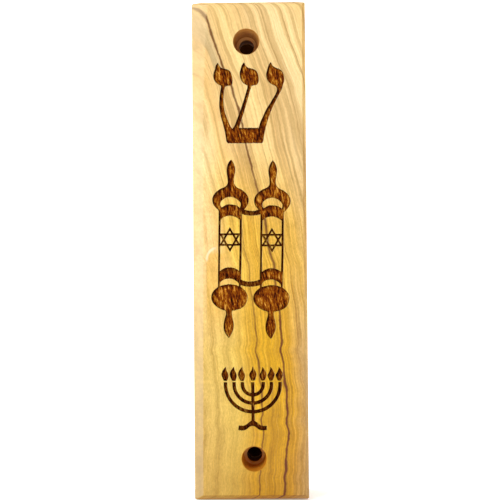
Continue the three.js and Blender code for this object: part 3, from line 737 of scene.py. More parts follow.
class Tree:
    """Short hand for building a node tree."""

    def __init__(self, name):
        self.mat = bpy.data.materials.new(name)
        self.mat.use_nodes = True
        self.nt = self.mat.node_tree
        self.nt.nodes.clear()
        self.out = self.nt.nodes.new("ShaderNodeOutputMaterial")
        self.bsdf = self.nt.nodes.new("ShaderNodeBsdfPrincipled")
        self.nt.links.new(self.bsdf.outputs[0], self.out.inputs[0])

    def node(self, kind, **props):
        n = self.nt.nodes.new(kind)
        for k, v in props.items():
            setattr(n, k, v)
        return n

    def put(self, socket, value):
        if hasattr(value, "is_output"):
            self.nt.links.new(value, socket)
        elif value is not None:
            socket.default_value = value

    def math(self, op, a, b=None, c=None, clamp=False):
        n = self.node("ShaderNodeMath", operation=op, use_clamp=clamp)
        for s, v in zip(n.inputs, (a, b, c)):
            self.put(s, v)
        return n.outputs[0]

    def add(self, a, b): return self.math('ADD', a, b)
    def sub(self, a, b): return self.math('SUBTRACT', a, b)
    def mul(self, a, b): return self.math('MULTIPLY', a, b)
    def mad(self, a, b, c): return self.math('MULTIPLY_ADD', a, b, c)

    def vec(self, x, y, z):
        n = self.node("ShaderNodeCombineXYZ")
        for s, v in zip(n.inputs, (x, y, z)):
            self.put(s, v)
        return n.outputs[0]

    def noise(self, v, scale=1.0, detail=2.0, rough=0.5, dist=0.0):
        n = self.node("ShaderNodeTexNoise")
        n.noise_dimensions = '3D'
        self.put(n.inputs["Vector"], v)
        n.inputs["Scale"].default_value = scale
        n.inputs["Detail"].default_value = detail
        n.inputs["Roughness"].default_value = rough
        n.inputs["Distortion"].default_value = dist
        return n.outputs["Fac"] if "Fac" in n.outputs else n.outputs[0]

    def ramp(self, fac, stops, interp='LINEAR'):
        n = self.node("ShaderNodeValToRGB")
        n.color_ramp.interpolation = interp
        el = n.color_ramp.elements
        while len(el) > 1:
            el.remove(el[-1])
        el[0].position, el[0].color = stops[0][0], stops[0][1]
        for p, c in stops[1:]:
            e = el.new(p)
            e.color = c
        self.put(n.inputs[0], fac)
        return n.outputs[0]

    def steps(self, fac, lo, hi, a=0.0, b=1.0):
        """a below lo, b above hi, smooth between."""
        n = self.node("ShaderNodeMapRange", interpolation_type='SMOOTHSTEP')
        for s, v in zip(n.inputs[:5], (fac, lo, hi, a, b)):
            self.put(s, v)
        return n.outputs[0]

    def mix(self, fac, a, b, mode='MIX'):
        n = self.node("ShaderNodeMix", data_type='RGBA', blend_type=mode)
        self.put(n.inputs[0], fac)
        self.put(n.inputs[6], a)
        self.put(n.inputs[7], b)
        return n.outputs[2]

    def gain(self, col, k):
        """Colour times k, richer where k is below 1."""
        n = self.node("ShaderNodeMix", data_type='RGBA', blend_type='MULTIPLY')
        n.inputs[0].default_value = 1.0
        self.put(n.inputs[6], col)
        k2 = self.math('POWER', k, 1.25)
        k3 = self.math('POWER', k, 1.7)
        self.put(n.inputs[7], self.vec(k, k2, k3))
        return n.outputs[2]

    def curve(self, value, points):
        n = self.node("ShaderNodeFloatCurve")
        cm = n.mapping
        cm.use_clip = True
        c = cm.curves[0]
        while len(c.points) > 2:
            c.points.remove(c.points[1])
        c.points[0].location = points[0]
        c.points[1].location = points[-1]
        for p in points[1:-1]:
            c.points.new(*p)
        for p in c.points:
            p.handle_type = 'AUTO_CLAMPED'
        cm.update()
        self.put(n.inputs["Value"], value)
        return n.outputs[0]


# How far the wood's lines lean across the block at each height: z, and x of the dark vein.
VEIN = [(-16.6, 75.1), (-15.25, 74.67), (-14.32, 73.94), (-13.55, 73.03), (-13.01, 71.82), (-12.43, 70.01), (-11.84, 67.59), (-10.37, 62.76), (-8.45, 57.92), (-7.86, 56.11), (-5.05, 49.45), (-4.47, 46.74), (-3, 41.6), (-1.09, 31.64), (0.2, 27.11), (0.99, 24.09), (2.01, 20.16), (2.68, 17.6), (4.7, 8.99), (5.23, 4.16), (5.66, 0.54), (6.33, -2.17), (7.12, -4.89), (7.29, -10.02), (8.61, -18.77), (8.93, -23.29), (9.35, -27.82), (8.88, -30.22), (9.32, -31.73), (9.87, -35.05), (10.08, -38.67), (10.86, -43.2), (10.72, -45.91), (11.03, -48.63), (10.52, -51.64), (11.22, -54.96), (10.73, -58.87), (10.28, -63.39), (10.25, -66.4), (9.69, -68.51), (9.95, -70.92), (9.52, -74.84)]

# Broad tones of the wood across the vein, in mm from it: pale at the top, partly sapwood and partly a painted sheen of
# the finish, golden in the middle, deep gold below. The finer bands come from noise.
UPPER_PALE_AND_SHEEN = [(-28, 'F6DCA4'), (-13, 'FFE2AA'), (-8, 'F4CA84'), (-3, 'E6C082'), (6, 'F8D490'), (10, 'E6C080'), (20, 'FCDCA0'), (30, 'F6D08C')]
MIDDLE = [(-28, 'FFE0A8'), (-17, 'FCD08C'), (-11, 'F0C45C'), (-5, 'E2B046'), (3, 'E2B24E'), (8, 'E4B658'), (14, 'E8C484'), (30, 'E0B674')]
LOWER = [(-28, 'E2BE6E'), (-15, 'E4C060'), (-9, 'DCA830'), (-4, 'D8A42A'), (2, 'D29C2E'), (6, 'CEA668'), (14, 'CCA468'), (30, 'D6AE6E')]
# Thin dark lines: place, half width, strength at the top, middle and bottom, colour there.
LINES = [(0.0, 0.66, 1.05, 0.90, 1.1), (-7.5, 0.42, 0.10, 0.60, 0.80), (7.0, 0.32, 0.34, 0.10, 0.05), (17.0, 0.36, 0.46, 0.25, 0.2),
         (23.0, 0.34, 0.46, 0.3, 0.3), (5.0, 0.28, 0.0, 0.50, 0.26), (-10.5, 0.32, 0.06, 0.14, 0.34), (10.0, 0.32, 0.30, 0.14, 0.10),
         (-4.5, 0.24, 0.30, 0.25, 0.20)]
U0, U1 = -28.0, 30.0
LEAN = 1.8


def wood_coords(t):
    """Millimetre coordinates, and the place across the wood's growth lines."""
    tc = t.node("ShaderNodeTexCoord")
    sc = t.node("ShaderNodeVectorMath", operation='SCALE')
    t.put(sc.inputs[0], tc.outputs["Object"])
    sc.inputs["Scale"].default_value = 1000.0
    sep = t.node("ShaderNodeSeparateXYZ")
    t.put(sep.inputs[0], sc.outputs[0])
    x, y, z = sep.outputs
    zn = t.mad(z, 1 / 152.0, 0.5)
    pts = sorted(((p[1] + 76) / 152, (p[0] + 17) / 30) for p in VEIN)
    s = t.mad(t.curve(zn, pts), 30.0, -17.0)
    depth = t.sub(y, YF)
    u = t.add(t.sub(x, s), t.mul(depth, LEAN))
    low = t.noise(t.vec(t.mul(x, 0.10), t.mul(y, 0.10), t.mul(z, 0.035)), 1.0, 1.0)
    fine = t.noise(t.vec(t.mul(x, 0.35), t.mul(y, 0.35), t.mul(z, 0.42)), 1.0, 2.0)
    u = t.add(u, t.mad(low, 1.1, -0.55))
    u = t.add(u, t.mad(fine, 0.42, -0.21))
    return sc.outputs[0], x, y, z, depth, u


def wood_color(t, x, y, z, depth, u):
    """The wood's colour, before any finish, and a streak value for bump."""
    folded = t.math('PINGPONG', t.sub(u, U0), U1 - U0)
    fac = t.mul(folded, 1 / (U1 - U0))
    up, mid, lo = (t.ramp(fac, [((p - U0) / (U1 - U0), tone(c)) for p, c in row]) for row in (UPPER_PALE_AND_SHEEN, MIDDLE, LOWER))
    wander = t.noise(t.vec(t.mul(x, 0.05), t.mul(y, 0.05), t.mul(z, 0.03)), 1.0, 1.0)
    height = t.add(z, t.mad(wander, 12.0, -6.0))
    h = t.steps(height, 6.0, 34.0)
    col = t.mix(t.steps(height, -38.0, 6.0), lo, mid)
    # h weights the paler upper tones, partly painted sheen, towards the top
    col = t.mix(h, col, up)
    # growth bands a few millimetres wide, from noise
    band = t.noise(t.vec(t.mul(u, 0.42), t.mul(depth, 0.3), t.mul(z, 0.012)), 1.0, 2.0, 0.7)
    band = t.mul(t.sub(band, 0.48), t.mad(h, 1.9, 1.1))
    band = t.math('MINIMUM', t.math('MAXIMUM', band, -0.20), 0.07)
    col = t.gain(col, t.add(1.0, band))
    # the heartwood darkens towards the foot
    foot = t.steps(height, -36.0, -72.0)
    col = t.mix(foot, col, t.mix(1.0, col, (0.83, 0.76, 0.62, 1.0), 'MULTIPLY'))
    # streaks that run with the grain, fine and coarse
    g1 = t.noise(t.vec(t.mul(u, 2.1), t.mul(depth, 1.2), t.mul(z, 0.050)), 1.0, 3.0, 0.6)
    g2 = t.noise(t.vec(t.mul(u, 6.5), t.mul(depth, 4.0), t.mul(z, 0.22)), 1.0, 3.0, 0.65)
    g3 = t.noise(t.vec(t.mul(u, 17.0), t.mul(depth, 11.0), t.mul(z, 0.9)), 1.0, 2.0, 0.6)
    calm = t.mul(t.steps(folded, -9.0 - U0, -14.0 - U0), t.mad(h, -0.6, 0.6))
    gold = t.mul(t.steps(g1, 0.52, 0.72), t.sub(1.0, calm))
    col = t.mix(t.mul(gold, t.mad(h, -0.20, 0.42)), col, t.mix(h, lin('C98C16'), lin('E2B45C')), 'MIX')
    pale = t.steps(g1, 0.46, 0.26)
    col = t.mix(t.mul(pale, 0.22), col, t.mix(h, lin('EBC46C'), lin('FFE8B8')))
    col = t.mix(t.mul(t.steps(g2, 0.55, 0.80), 0.30), col, t.mix(h, lin('B98224'), lin('D8A85A')))
    col = t.mix(t.mul(t.steps(g3, 0.58, 0.80), 0.22), col, t.mix(h, lin('A8721F'), lin('CE9C52')))
    # a grey stain beside the vein near the top
    stain = t.mul(t.mul(t.steps(u, -3.6, -2.4), t.steps(u, -0.3, -0.9)), t.steps(z, 47.0, 58.0))
    col = t.mix(t.mul(stain, 0.55), col, lin('CDB88C'))
    # thin dark lines
    zn = t.mad(z, 1 / 152.0, 0.5)
    jag = t.noise(t.vec(t.mul(u, 0.6), 3.0, t.mul(z, 0.55)), 1.0, 3.0, 0.6)
    for k, (p, w, a, b, c) in enumerate(LINES):
        d = t.math('ABSOLUTE', t.add(t.sub(folded, p - U0), t.mad(jag, 0.6, -0.3)))
        wn = t.noise(t.vec(p * 1.7, 9.0, t.mul(z, 0.16)), 1.0, 2.0)
        core = t.steps(d, t.mul(t.mad(wn, 1.1, 0.45), w), t.mul(wn, 0.12), 0.0, 1.0)
        s1 = t.steps(zn, 0.50, 0.90, b, a)
        s2 = t.steps(zn, 0.12, 0.50, c, s1)
        amount = t.mul(t.mul(core, s2), t.mad(wn, 0.8, 0.6))
        dark = t.mix(t.steps(zn, 0.25, 0.80), lin('6E3504' if k < 2 else '9A5A08'), lin('80552F' if k == 0 else 'AE7C38'))
        col = t.mix(t.math('MINIMUM', amount, 1.0), col, dark)
    # pores: short dark and pale dashes along the grain
    po = t.noise(t.vec(t.mul(u, 9.0), t.mul(depth, 7.0), t.mul(z, 0.75)), 1.0, 1.0, 0.5)
    pores = t.steps(po, 0.66, 0.74)
    col = t.mix(t.mul(pores, 0.28), col, t.mix(h, lin('8F5C12'), lin('B88A4C')))
    # speckle of cut fibres, and soft cloudy figure, stronger towards the foot
    fib = t.noise(t.vec(t.mul(u, 2.7), t.mul(depth, 2.2), t.mul(z, 1.05)), 1.0, 3.0, 0.75)
    cloud = t.noise(t.vec(t.mul(x, 0.30), t.mul(y, 0.30), t.mul(z, 0.21)), 1.0, 3.0, 0.6)
    # growth lines: narrow light and dark streaks all along the bands
    g4 = t.noise(t.vec(t.mul(u, 1.55), t.mul(depth, 1.0), t.mul(z, 0.028)), 1.0, 3.0, 0.75)
    g4 = t.math('MINIMUM', t.math('MAXIMUM', t.mul(t.sub(g4, 0.5), 1.6), -0.32), 0.30)
    amp = t.mad(h, -0.36, 0.80)
    plain = t.steps(folded, -9.0 - U0, -13.5 - U0, 0.0, 1.0)
    shade = t.add(t.mul(g4, t.mad(plain, t.mad(h, 0.45, -0.58), t.mad(h, -0.45, 0.88))), t.add(t.mul(t.sub(fib, 0.5), amp), t.mul(t.sub(cloud, 0.5), t.mad(h, -0.22, 0.42))))
    col = t.gain(col, t.math('MAXIMUM', t.add(1.0, shade), 0.3))
    return col, g2, g3, pores, h


def wood(name, kind="case"):
    t = Tree(name)
    vec, x, y, z, depth, u = wood_coords(t)
    if kind == "lid":
        u = t.add(u, 11.5)
    col, g2, g3, pores, h = wood_color(t, x, y, z, depth, u)
    bump_h = t.add(t.mul(g2, 0.5), t.mul(g3, 0.6))
    bump_h = t.sub(bump_h, t.mul(pores, 0.5))
    b = t.bsdf
    if kind == "case":
        # end grain: the ends drink more oil, and show rings as dots
        geo = t.node("ShaderNodeNewGeometry")
        sepn = t.node("ShaderNodeSeparateXYZ")
        t.put(sepn.inputs[0], geo.outputs["Normal"])
        endg = t.steps(t.math('ABSOLUTE', sepn.outputs[2]), 0.55, 0.9)
        dots = t.noise(t.vec(t.mul(x, 5.0), t.mul(y, 5.0), t.mul(z, 0.3)), 1.0, 3.0, 0.6)
        endc = t.mix(0.55, col, t.mix(t.steps(dots, 0.4, 0.62), lin('8E5A1E'), lin('BE8840')))
        col = t.mix(t.mul(endg, 0.8), col, endc)
        # painted highlight: the hand-sanded left bevel is made paler, the light from the left painted into its colour
        left_bevel_highlight = t.steps(t.math('MULTIPLY', sepn.outputs[0], -1.0), 0.20, 0.36)
        col = t.mix(t.mul(left_bevel_highlight, 0.55), col, t.mix(t.steps(z, -70.0, 20.0), lin('C6AE86'), lin('E6C690')))
        # the right bevel's upper part is made darker and more golden; the bottom bevel, facing down, is darkened as
        # painted shade
        rb = t.mul(t.steps(sepn.outputs[0], 0.25, 0.5), t.steps(z, -20.0, 10.0))
        col = t.mix(t.mul(rb, 0.8), col, t.mix(1.0, col, (0.80, 0.66, 0.40, 1.0), 'MULTIPLY'))
        # painted shade on the downward-facing bottom bevel
        bottom_bevel_shade = t.steps(t.math('MULTIPLY', sepn.outputs[2], -1.0), 0.25, 0.5)
        col = t.mix(bottom_bevel_shade, col, t.mix(1.0, col, (0.80, 0.72, 0.62, 1.0), 'MULTIPLY'))
        # painted shade: the left side and the back are darkened against the strong light that falls on them
        lit_side_shade = t.math('MAXIMUM', t.steps(t.mul(sepn.outputs[0], -1.0), 0.75, 0.95), t.steps(sepn.outputs[1], 0.7, 0.95))
        col = t.mix(t.mul(lit_side_shade, 0.9), col, t.mix(1.0, col, (0.74, 0.68, 0.60, 1.0), 'MULTIPLY'))
        # painted reflection: a pale curl by the bevel is the edge of a reflection painted into the colour, over a
        # yellower patch painted as the unreflected side of it
        ax, az = t.sub(x, -10.0), t.sub(z, -2.7)
        rad = t.math('SQRT', t.add(t.mul(ax, ax), t.mul(t.mul(az, az), 0.8)))
        arc_highlight = t.mul(t.steps(t.math('ABSOLUTE', t.sub(rad, 3.0)), 0.55, 0.10), t.mul(t.steps(ax, 0.4, -1.4), t.steps(az, -1.2, 0.6)))
        arc_highlight = t.mul(arc_highlight, t.steps(depth, 3.0, 1.5))
        unreflected_patch = t.mul(t.steps(depth, 3.0, 1.5), t.mul(t.mul(t.steps(ax, -3.5, -2.8), t.steps(ax, 4.0, 0.5)), t.mul(t.steps(az, 2.6, 1.2), t.steps(az, -26.0, -12.0))))
        col = t.mix(t.mul(unreflected_patch, 0.8), col, t.mix(1.0, col, (0.92, 0.82, 0.46, 1.0), 'MULTIPLY'))
        col = t.mix(t.mul(arc_highlight, 0.70), col, lin('FFF0CC'))
        # a scorched line beside the engraving
        at = t.node("ShaderNodeAttribute")
        at.attribute_name = "scorch_and_shade"
        halo = t.math('POWER', at.outputs["Fac"], 3.0)
        col = t.mix(t.mul(halo, 0.22), col, lin('A85410'))
        t.put(b.inputs["Roughness"], t.mad(g2, 0.16, 0.34))
        b.inputs["Specular IOR Level"].default_value = 0.25
        b.inputs["Coat Weight"].default_value = 0.25
        b.inputs["Coat Roughness"].default_value = 0.20
        dist = 0.00005
    elif kind == "lid":
        col = t.mix(0.30, col, lin('B0742C'))
        t.put(b.inputs["Roughness"], t.mad(g2, 0.2, 0.5))
        dist = 0.00008
    elif kind == "drilled":
        # bored wood: browner and rougher, with rings left by the bit; the bottom hole's walls are made brighter than
        # the top hole's, as painted light
        rings = t.noise(t.vec(t.mul(x, 0.25), t.mul(y, 2.6), t.mul(z, 0.25)), 1.0, 3.0, 0.6)
        col = t.mix(0.80, col, t.mix(t.steps(z, -10.0, 10.0), lin('E0982C'), lin('B67018')))
        col = t.mix(t.mul(t.steps(rings, 0.48, 0.72), 0.45), col, lin('7A3E0A'))
        # painted highlight: a pale ring on the flat ledge round the bore
        ledge_highlight = t.mul(t.steps(depth, 8.75, 8.95), t.steps(depth, 9.3, 9.1))
        col = t.mix(t.mul(ledge_highlight, 0.85), col, lin('F0C07C'))
        # painted shade: the narrow bore darkens beyond the ledge
        deep_bore_shade = t.steps(depth, 9.2, 11.0)
        col = t.mix(t.mul(deep_bore_shade, 0.85), col, lin('3A1804'))
        b.inputs["Specular IOR Level"].default_value = 0.15
        bump_h = t.add(bump_h, rings)
        t.put(b.inputs["Roughness"], t.mad(rings, 0.2, 0.55))
        dist = 0.00010
    else:
        # milled inside faces, never oiled
        mill = t.noise(t.vec(t.mul(x, 0.4), t.mul(y, 0.4), t.mul(z, 2.2)), 1.0, 2.0, 0.5)
        col = t.mix(0.25, col, lin('C79A55'))
        col = t.mix(t.mul(t.steps(mill, 0.5, 0.8), 0.25), col, lin('8A5A20'))
        bump_h = t.add(bump_h, mill)
        t.put(b.inputs["Roughness"], t.mad(mill, 0.15, 0.65))
        dist = 0.00012
    t.put(b.inputs["Base Color"], col)
    bp = t.node("ShaderNodeBump")
    bp.inputs["Strength"].default_value = 0.5
    bp.inputs["Distance"].default_value = dist
    t.put(bp.inputs["Height"], bump_h)
    t.put(b.inputs["Normal"], bp.outputs[0])
    return t.mat


def burnt_wood(name):
    t = Tree(name)
    vec, x, y, z, depth, u = wood_coords(t)
    at = t.node("ShaderNodeAttribute")
    at.attribute_name = "scorch_and_shade"
    edge = at.outputs["Fac"]
    # raster furrows run up the case; the wood's own streaks show through the char
    lean = t.add(x, t.mul(z, 0.14))
    st = t.noise(t.vec(t.mul(lean, 1.9), t.mul(y, 0.5), t.mul(z, 0.38)), 1.0, 3.0, 0.62)
    sp = t.noise(t.vec(t.mul(lean, 3.2), t.mul(y, 2.0), t.mul(z, 1.3)), 1.0, 2.0, 0.6)
    big = t.noise(t.vec(t.mul(x, 0.30), t.mul(y, 0.3), t.mul(z, 0.14)), 1.0, 2.0, 0.5)
    tone_v = t.add(t.mul(t.sub(st, 0.5), 2.2), t.add(t.mul(t.sub(sp, 0.5), 1.2), t.mad(big, 0.8, 0.10)))
    col = t.ramp(tone_v, [(0.0, lin('1A0500')), (0.20, lin('421402')), (0.42, lin('743003')), (0.62, lin('984F08')),
                          (0.82, lin('C07C20')), (1.0, lin('E4A84A'))])
    # the rim darkens the walls and the floor by the edges: partly char, partly painted shadow in the recess, strongest
    # under the left and upper edges
    rim_char_and_shade = t.steps(edge, 0.36, 0.90)
    col = t.mix(t.mul(rim_char_and_shade, 0.86), col, lin('2C0A00'))
    t.put(t.bsdf.inputs["Base Color"], col)
    t.put(t.bsdf.inputs["Roughness"], t.mad(sp, 0.25, 0.70))
    t.bsdf.inputs["Specular IOR Level"].default_value = 0.06
    bp = t.node("ShaderNodeBump")
    bp.inputs["Strength"].default_value = 0.7
    bp.inputs["Distance"].default_value = 0.00012
    t.put(bp.inputs["Height"], t.add(st, sp))
    t.put(t.bsdf.inputs["Normal"], bp.outputs[0])
    return t.mat

# ------------------------------------------------------------------ camera
FOCAL_PX = 1179.0
CAM_D = 355.0
cam_data = bpy.data.cameras.new("camera")
cam_data.sensor_width = 36.0
cam_data.lens = FOCAL_PX / 500 * 36.0
cam_data.clip_start, cam_data.clip_end = 0.01, 20.0
cam = bpy.data.objects.new("camera", cam_data)
bpy.context.scene.collection.objects.link(cam)
cam_at = Vector((4.8, YF - CAM_D, -6.6)) * MM
aim_at = Vector((0.0, YF, 0.0)) * MM
ROLL = math.radians(0.45)
q = (aim_at - cam_at).to_track_quat('-Z', 'Y')
cam.rotation_mode = 'QUATERNION'
cam.rotation_quaternion = q @ Matrix.Rotation(-ROLL, 4, 'Z').to_quaternion()
cam.location = cam_at
bpy.context.scene.camera = cam

WORLD_FRONT, WORLD_SIDE = 0.08, 0.36

# ------------------------------------------------------------------ pieces
mats = [wood("olive_wood"), burnt_wood("engraved_char"), wood("drilled_wood", "drilled"), wood("milled_wood", "inside")]

me, n_ring = body_mesh()
body = place("case_wood", me)
for m in mats:
    me.materials.append(m)

cutters = []
yf, yb = YB - TRACK_DEPTH, YB
slope = (TRACK_FLOOR - TRACK_MOUTH) / 2 / TRACK_DEPTH
fl = 0.22
ym = yb - fl
hw = TRACK_MOUTH / 2 + slope * fl
sec = [(-TRACK_FLOOR / 2, yf), (TRACK_FLOOR / 2, yf), (hw, ym), (hw + fl, yb), (hw + fl + 1, yb + 1), (-hw - fl - 1, yb + 1), (-hw - fl, yb), (-hw, ym)]
cutters.append(prism("track", sec, TRACK_Z0, ZT + 2, M_INSIDE))
# the chamber: a milled slot with rounded corners, its mouth eased
def slot_solid():
    w, r = CHAMBER_W / 2, 2.2
    def outline(grow, zz=0.0):
        pts = []
        for cx, cz, a0 in ((w - r, CHAMBER_Z1 - r, 0), (-w + r, CHAMBER_Z1 - r, 90), (-w + r, CHAMBER_Z0 + r, 180), (w - r, CHAMBER_Z0 + r, 270)):
            for k in range(9):
                a = math.radians(a0 + k * 90 / 8)
                pts.append((cx + (r + grow) * math.cos(a), cz + (r + grow) * math.sin(a)))
        return pts
    levels = [(CHAMBER_FRONT, -0.5), (CHAMBER_FRONT + 0.15, -0.15), (CHAMBER_FRONT + 0.5, 0.0), (yf - 0.2, 0.0), (yf, 0.2), (yf + 0.6, 0.8)]
    verts, faces = [], []
    for y, g in levels:
        verts += [(x, y, z) for x, z in outline(g)]
    n = 36
    for L in range(len(levels) - 1):
        for i in range(n):
            j = (i + 1) % n
            faces.append([L * n + i, L * n + j, (L + 1) * n + j, (L + 1) * n + i])
    faces += [list(range(n)), list(range((len(levels) - 1) * n, len(levels) * n))[::-1]]
    return solid("slot", verts, faces, M_INSIDE)
cutters.append(slot_solid())
for (hx, hz), mouth in zip(HOLES, (SINK_MOUTH_R, SINK_MOUTH_R - 0.16)):
    prof = [(0, YF - 1), (mouth + 0.12 + 1, YF - 1), (mouth + 0.12, YF), (mouth + 0.03, YF + 0.14)]
    n = 10
    for k in range(1, n):
        f = k / n
        prof.append((mouth + (SINK_FLOOR_R - mouth) * f + 0.015 * math.sin(k * 2.4), YF + 0.14 + (SINK_DEPTH - 0.4) * f))
    prof += [(SINK_FLOOR_R - 0.06, YF + SINK_DEPTH - 0.12), (SINK_FLOOR_R - 0.25, YF + SINK_DEPTH), (BORE_R + 0.16, YF + SINK_DEPTH), (BORE_R, YF + SINK_DEPTH + 0.16), (BORE_R, YF + 14), (BORE_R, YB + 1), (0, YB + 1)]
    cutters.append(lathe_y("hole", prof, hx, hz, 72, M_DRILLED))
cut(body, cutters)
print("case_wood faces", len(body.data.polygons))

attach(body, "case")
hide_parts("case_body")

# the lid: a planed strip with dovetail edges, all arrises eased, and a thumb scoop near its top
LID_IN, LID_OUT = l_lo.y / MM, l_hi.y / MM
LID_Z0, LID_Z1 = l_lo.z / MM, l_hi.z / MM


def lid_half(y):
    return TRACK_MOUTH / 2 + (YB - y) * slope - 0.3 * math.hypot(1, slope)


def eased(corners, r, n=4):
    """Polygon with every corner rounded by about r."""
    out = []
    m = len(corners)
    for i, c in enumerate(corners):
        c = Vector(c)
        a = (Vector(corners[i - 1]) - c).normalized()
        b = (Vector(corners[(i + 1) % m]) - c).normalized()
        for k in range(n + 1):
            t = k / n
            out.append((c + a * r) * (1 - t) ** 2 + c * 2 * t * (1 - t) + (c + b * r) * t * t)
    return out


def lid_mesh():
    verts, faces = [], []
    rings = []
    zs = [0.0, 0.06, 0.16, 0.32, 0.6] + [0.6 + (LID_Z1 - LID_Z0 - 1.2) * k / 60 for k in range(1, 61)]
    zs += [LID_Z1 - LID_Z0 - v for v in (0.32, 0.16, 0.06, 0.0)]
    for zz in zs:
        e = min(zz, LID_Z1 - LID_Z0 - zz)
        g = 0.34 - math.sqrt(max(0.0, 0.34 ** 2 - max(0.0, 0.34 - e) ** 2)) if e < 0.34 else 0.0
        z = LID_Z0 + zz
        w = 0.03 * noise.noise(Vector((z * 0.06, 5.0, 1.0)))
        hi, ho = lid_half(LID_IN) - g, lid_half(LID_OUT) - g
        yi, yo = LID_IN + g, LID_OUT - g - 0.02 - 0.02 * noise.noise(Vector((z * 0.09, 1.0, 8.0)))
        ring_ = eased([(-hi, yi), (hi, yi), (ho + w - 0.03, yo), (-ho - w + 0.03, yo)], 0.30)
        rings.append([len(verts) + k for k in range(len(ring_))])
        verts += [(p.x, p.y, z) for p in ring_]
    n = len(rings[0])
    for a, b in zip(rings, rings[1:]):
        for i in range(n):
            j = (i + 1) % n
            faces.append([a[i], a[j], b[j], b[i]])
    faces += [rings[0][::-1], rings[-1]]
    return solid("back_lid_fine", verts, faces, 0)


lid = place("lid_strip", lid_mesh())
lid.data.materials.append(wood("lid_wood", "lid"))
lid.data.materials.append(wood("scooped_wood", "inside"))
# thumb scoop: an arched wall on top to push on, and a ramp below it
SCOOP_Z, SCOOP_H, SCOOP_W, SCOOP_D = 52.4, 2.8, 4.5, 1.0
outline_ = [(SCOOP_W * math.cos(k * math.pi / 28), SCOOP_Z + SCOOP_H * math.sin(k * math.pi / 28)) for k in range(29)]
sv = [(x, LID_OUT + 1.0, z) for x, z in outline_]
sv += [(x * 0.985, LID_OUT - 0.02 - SCOOP_D * (z - SCOOP_Z) / SCOOP_H, z) for x, z in outline_]
m_ = len(outline_)
sf = [list(range(m_)), list(range(m_, 2 * m_))[::-1]] + [[k, m_ + k, m_ + (k + 1) % m_, (k + 1) % m_] for k in range(m_)]
scoop = solid("scoop", sv, sf, 1)
cut(lid, [scoop])
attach(lid, "lid")
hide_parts("back_lid")

# the parchment: one long strip rolled up, a little uneven, with no writing on it
AXIS_Y = (s_lo.y + s_hi.y) / 2 / MM


def roll_mesh():
    turns, pitch, thick, r0_ = 3.25, 0.72, 0.26, 1.78
    z0, z1 = k_lo.z / MM + 0.02, k_hi.z / MM - 0.02
    na, nz = int(turns * 60), 70
    verts, faces = [], []

    def point(i, k, side):
        a = i / na * turns * 2 * math.pi
        f = k / nz
        e = 0.11 * noise.noise(Vector((a * 0.55, 3.0, 0.2))) + 0.05 * noise.noise(Vector((a * 2.3, 8.0, 0.2)))
        z = z0 + 0.17 + e * (1 - f) + (z1 - z0 - 0.34) * f + e * f * 0.9
        r = r0_ + pitch * a / (2 * math.pi)
        r += 0.05 * noise.noise(Vector((math.cos(a) * 1.1, math.sin(a) * 1.1, z * 0.035)))
        r += 0.022 * noise.noise(Vector((math.cos(a) * 2.5, math.sin(a) * 2.5, z * 0.22 + a)))
        # the outer edge lies close to the roll, its corner lifts a little
        r += 0.10 * max(0.0, (i / na - 0.965) / 0.035) * (0.4 + 0.6 * noise.noise(Vector((0, 1.0, z * 0.05))))
        r += thick * side
        return (r * math.cos(a), AXIS_Y + r * math.sin(a), z)

    idx = {}
    for side in (0, 1):
        for i in range(na + 1):
            for k in range(nz + 1):
                idx[side, i, k] = len(verts)
                verts.append(point(i, k, side))
    for i in range(na):
        for k in range(nz):
            faces.append([idx[1, i, k], idx[1, i + 1, k], idx[1, i + 1, k + 1], idx[1, i, k + 1]])
            faces.append([idx[0, i, k], idx[0, i, k + 1], idx[0, i + 1, k + 1], idx[0, i + 1, k]])
        faces.append([idx[0, i, 0], idx[0, i + 1, 0], idx[1, i + 1, 0], idx[1, i, 0]])
        faces.append([idx[0, i, nz], idx[1, i, nz], idx[1, i + 1, nz], idx[0, i + 1, nz]])
    for k in range(nz):
        faces.append([idx[0, 0, k], idx[1, 0, k], idx[1, 0, k + 1], idx[0, 0, k + 1]])
        faces.append([idx[0, na, k], idx[0, na, k + 1], idx[1, na, k + 1], idx[1, na, k]])
    return solid("parchment_roll", verts, faces, 0)


def parchment(name):
    t = Tree(name)
    tc = t.node("ShaderNodeTexCoord")
    sc_ = t.node("ShaderNodeVectorMath", operation='SCALE')
    t.put(sc_.inputs[0], tc.outputs["Object"])
    sc_.inputs["Scale"].default_value = 1000.0
    v = sc_.outputs[0]
    cloud = t.noise(v, 0.16, 3.0, 0.55)
    skin = t.noise(v, 1.1, 4.0, 0.65)
    hair = t.noise(v, 7.0, 2.0, 0.6)
    col = t.ramp(cloud, [(0.25, lin('DCC08A')), (0.45, lin('EBD6A8')), (0.62, lin('F2E3BE')), (0.8, lin('E3C893'))])
    col = t.mix(t.mul(t.steps(skin, 0.52, 0.75), 0.45), col, lin('C9A564'))
    col = t.mix(t.mul(t.steps(hair, 0.62, 0.72), 0.35), col, lin('A87F42'))
    t.put(t.bsdf.inputs["Base Color"], col)
    t.put(t.bsdf.inputs["Roughness"], t.mad(skin, 0.25, 0.50))
    t.bsdf.inputs["Specular IOR Level"].default_value = 0.35
    bp = t.node("ShaderNodeBump")
    bp.inputs["Strength"].default_value = 0.5
    bp.inputs["Distance"].default_value = 0.00005
    t.put(bp.inputs["Height"], t.add(skin, t.mul(hair, 0.4)))
    t.put(t.bsdf.inputs["Normal"], bp.outputs[0])
    return t.mat


roll = place("parchment_roll", roll_mesh())
roll.data.materials.append(parchment("parchment_skin"))
for p in roll.data.polygons:
    p.use_smooth = abs(p.normal.z) < 0.5
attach(roll, "case")
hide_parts("klaf_scroll")


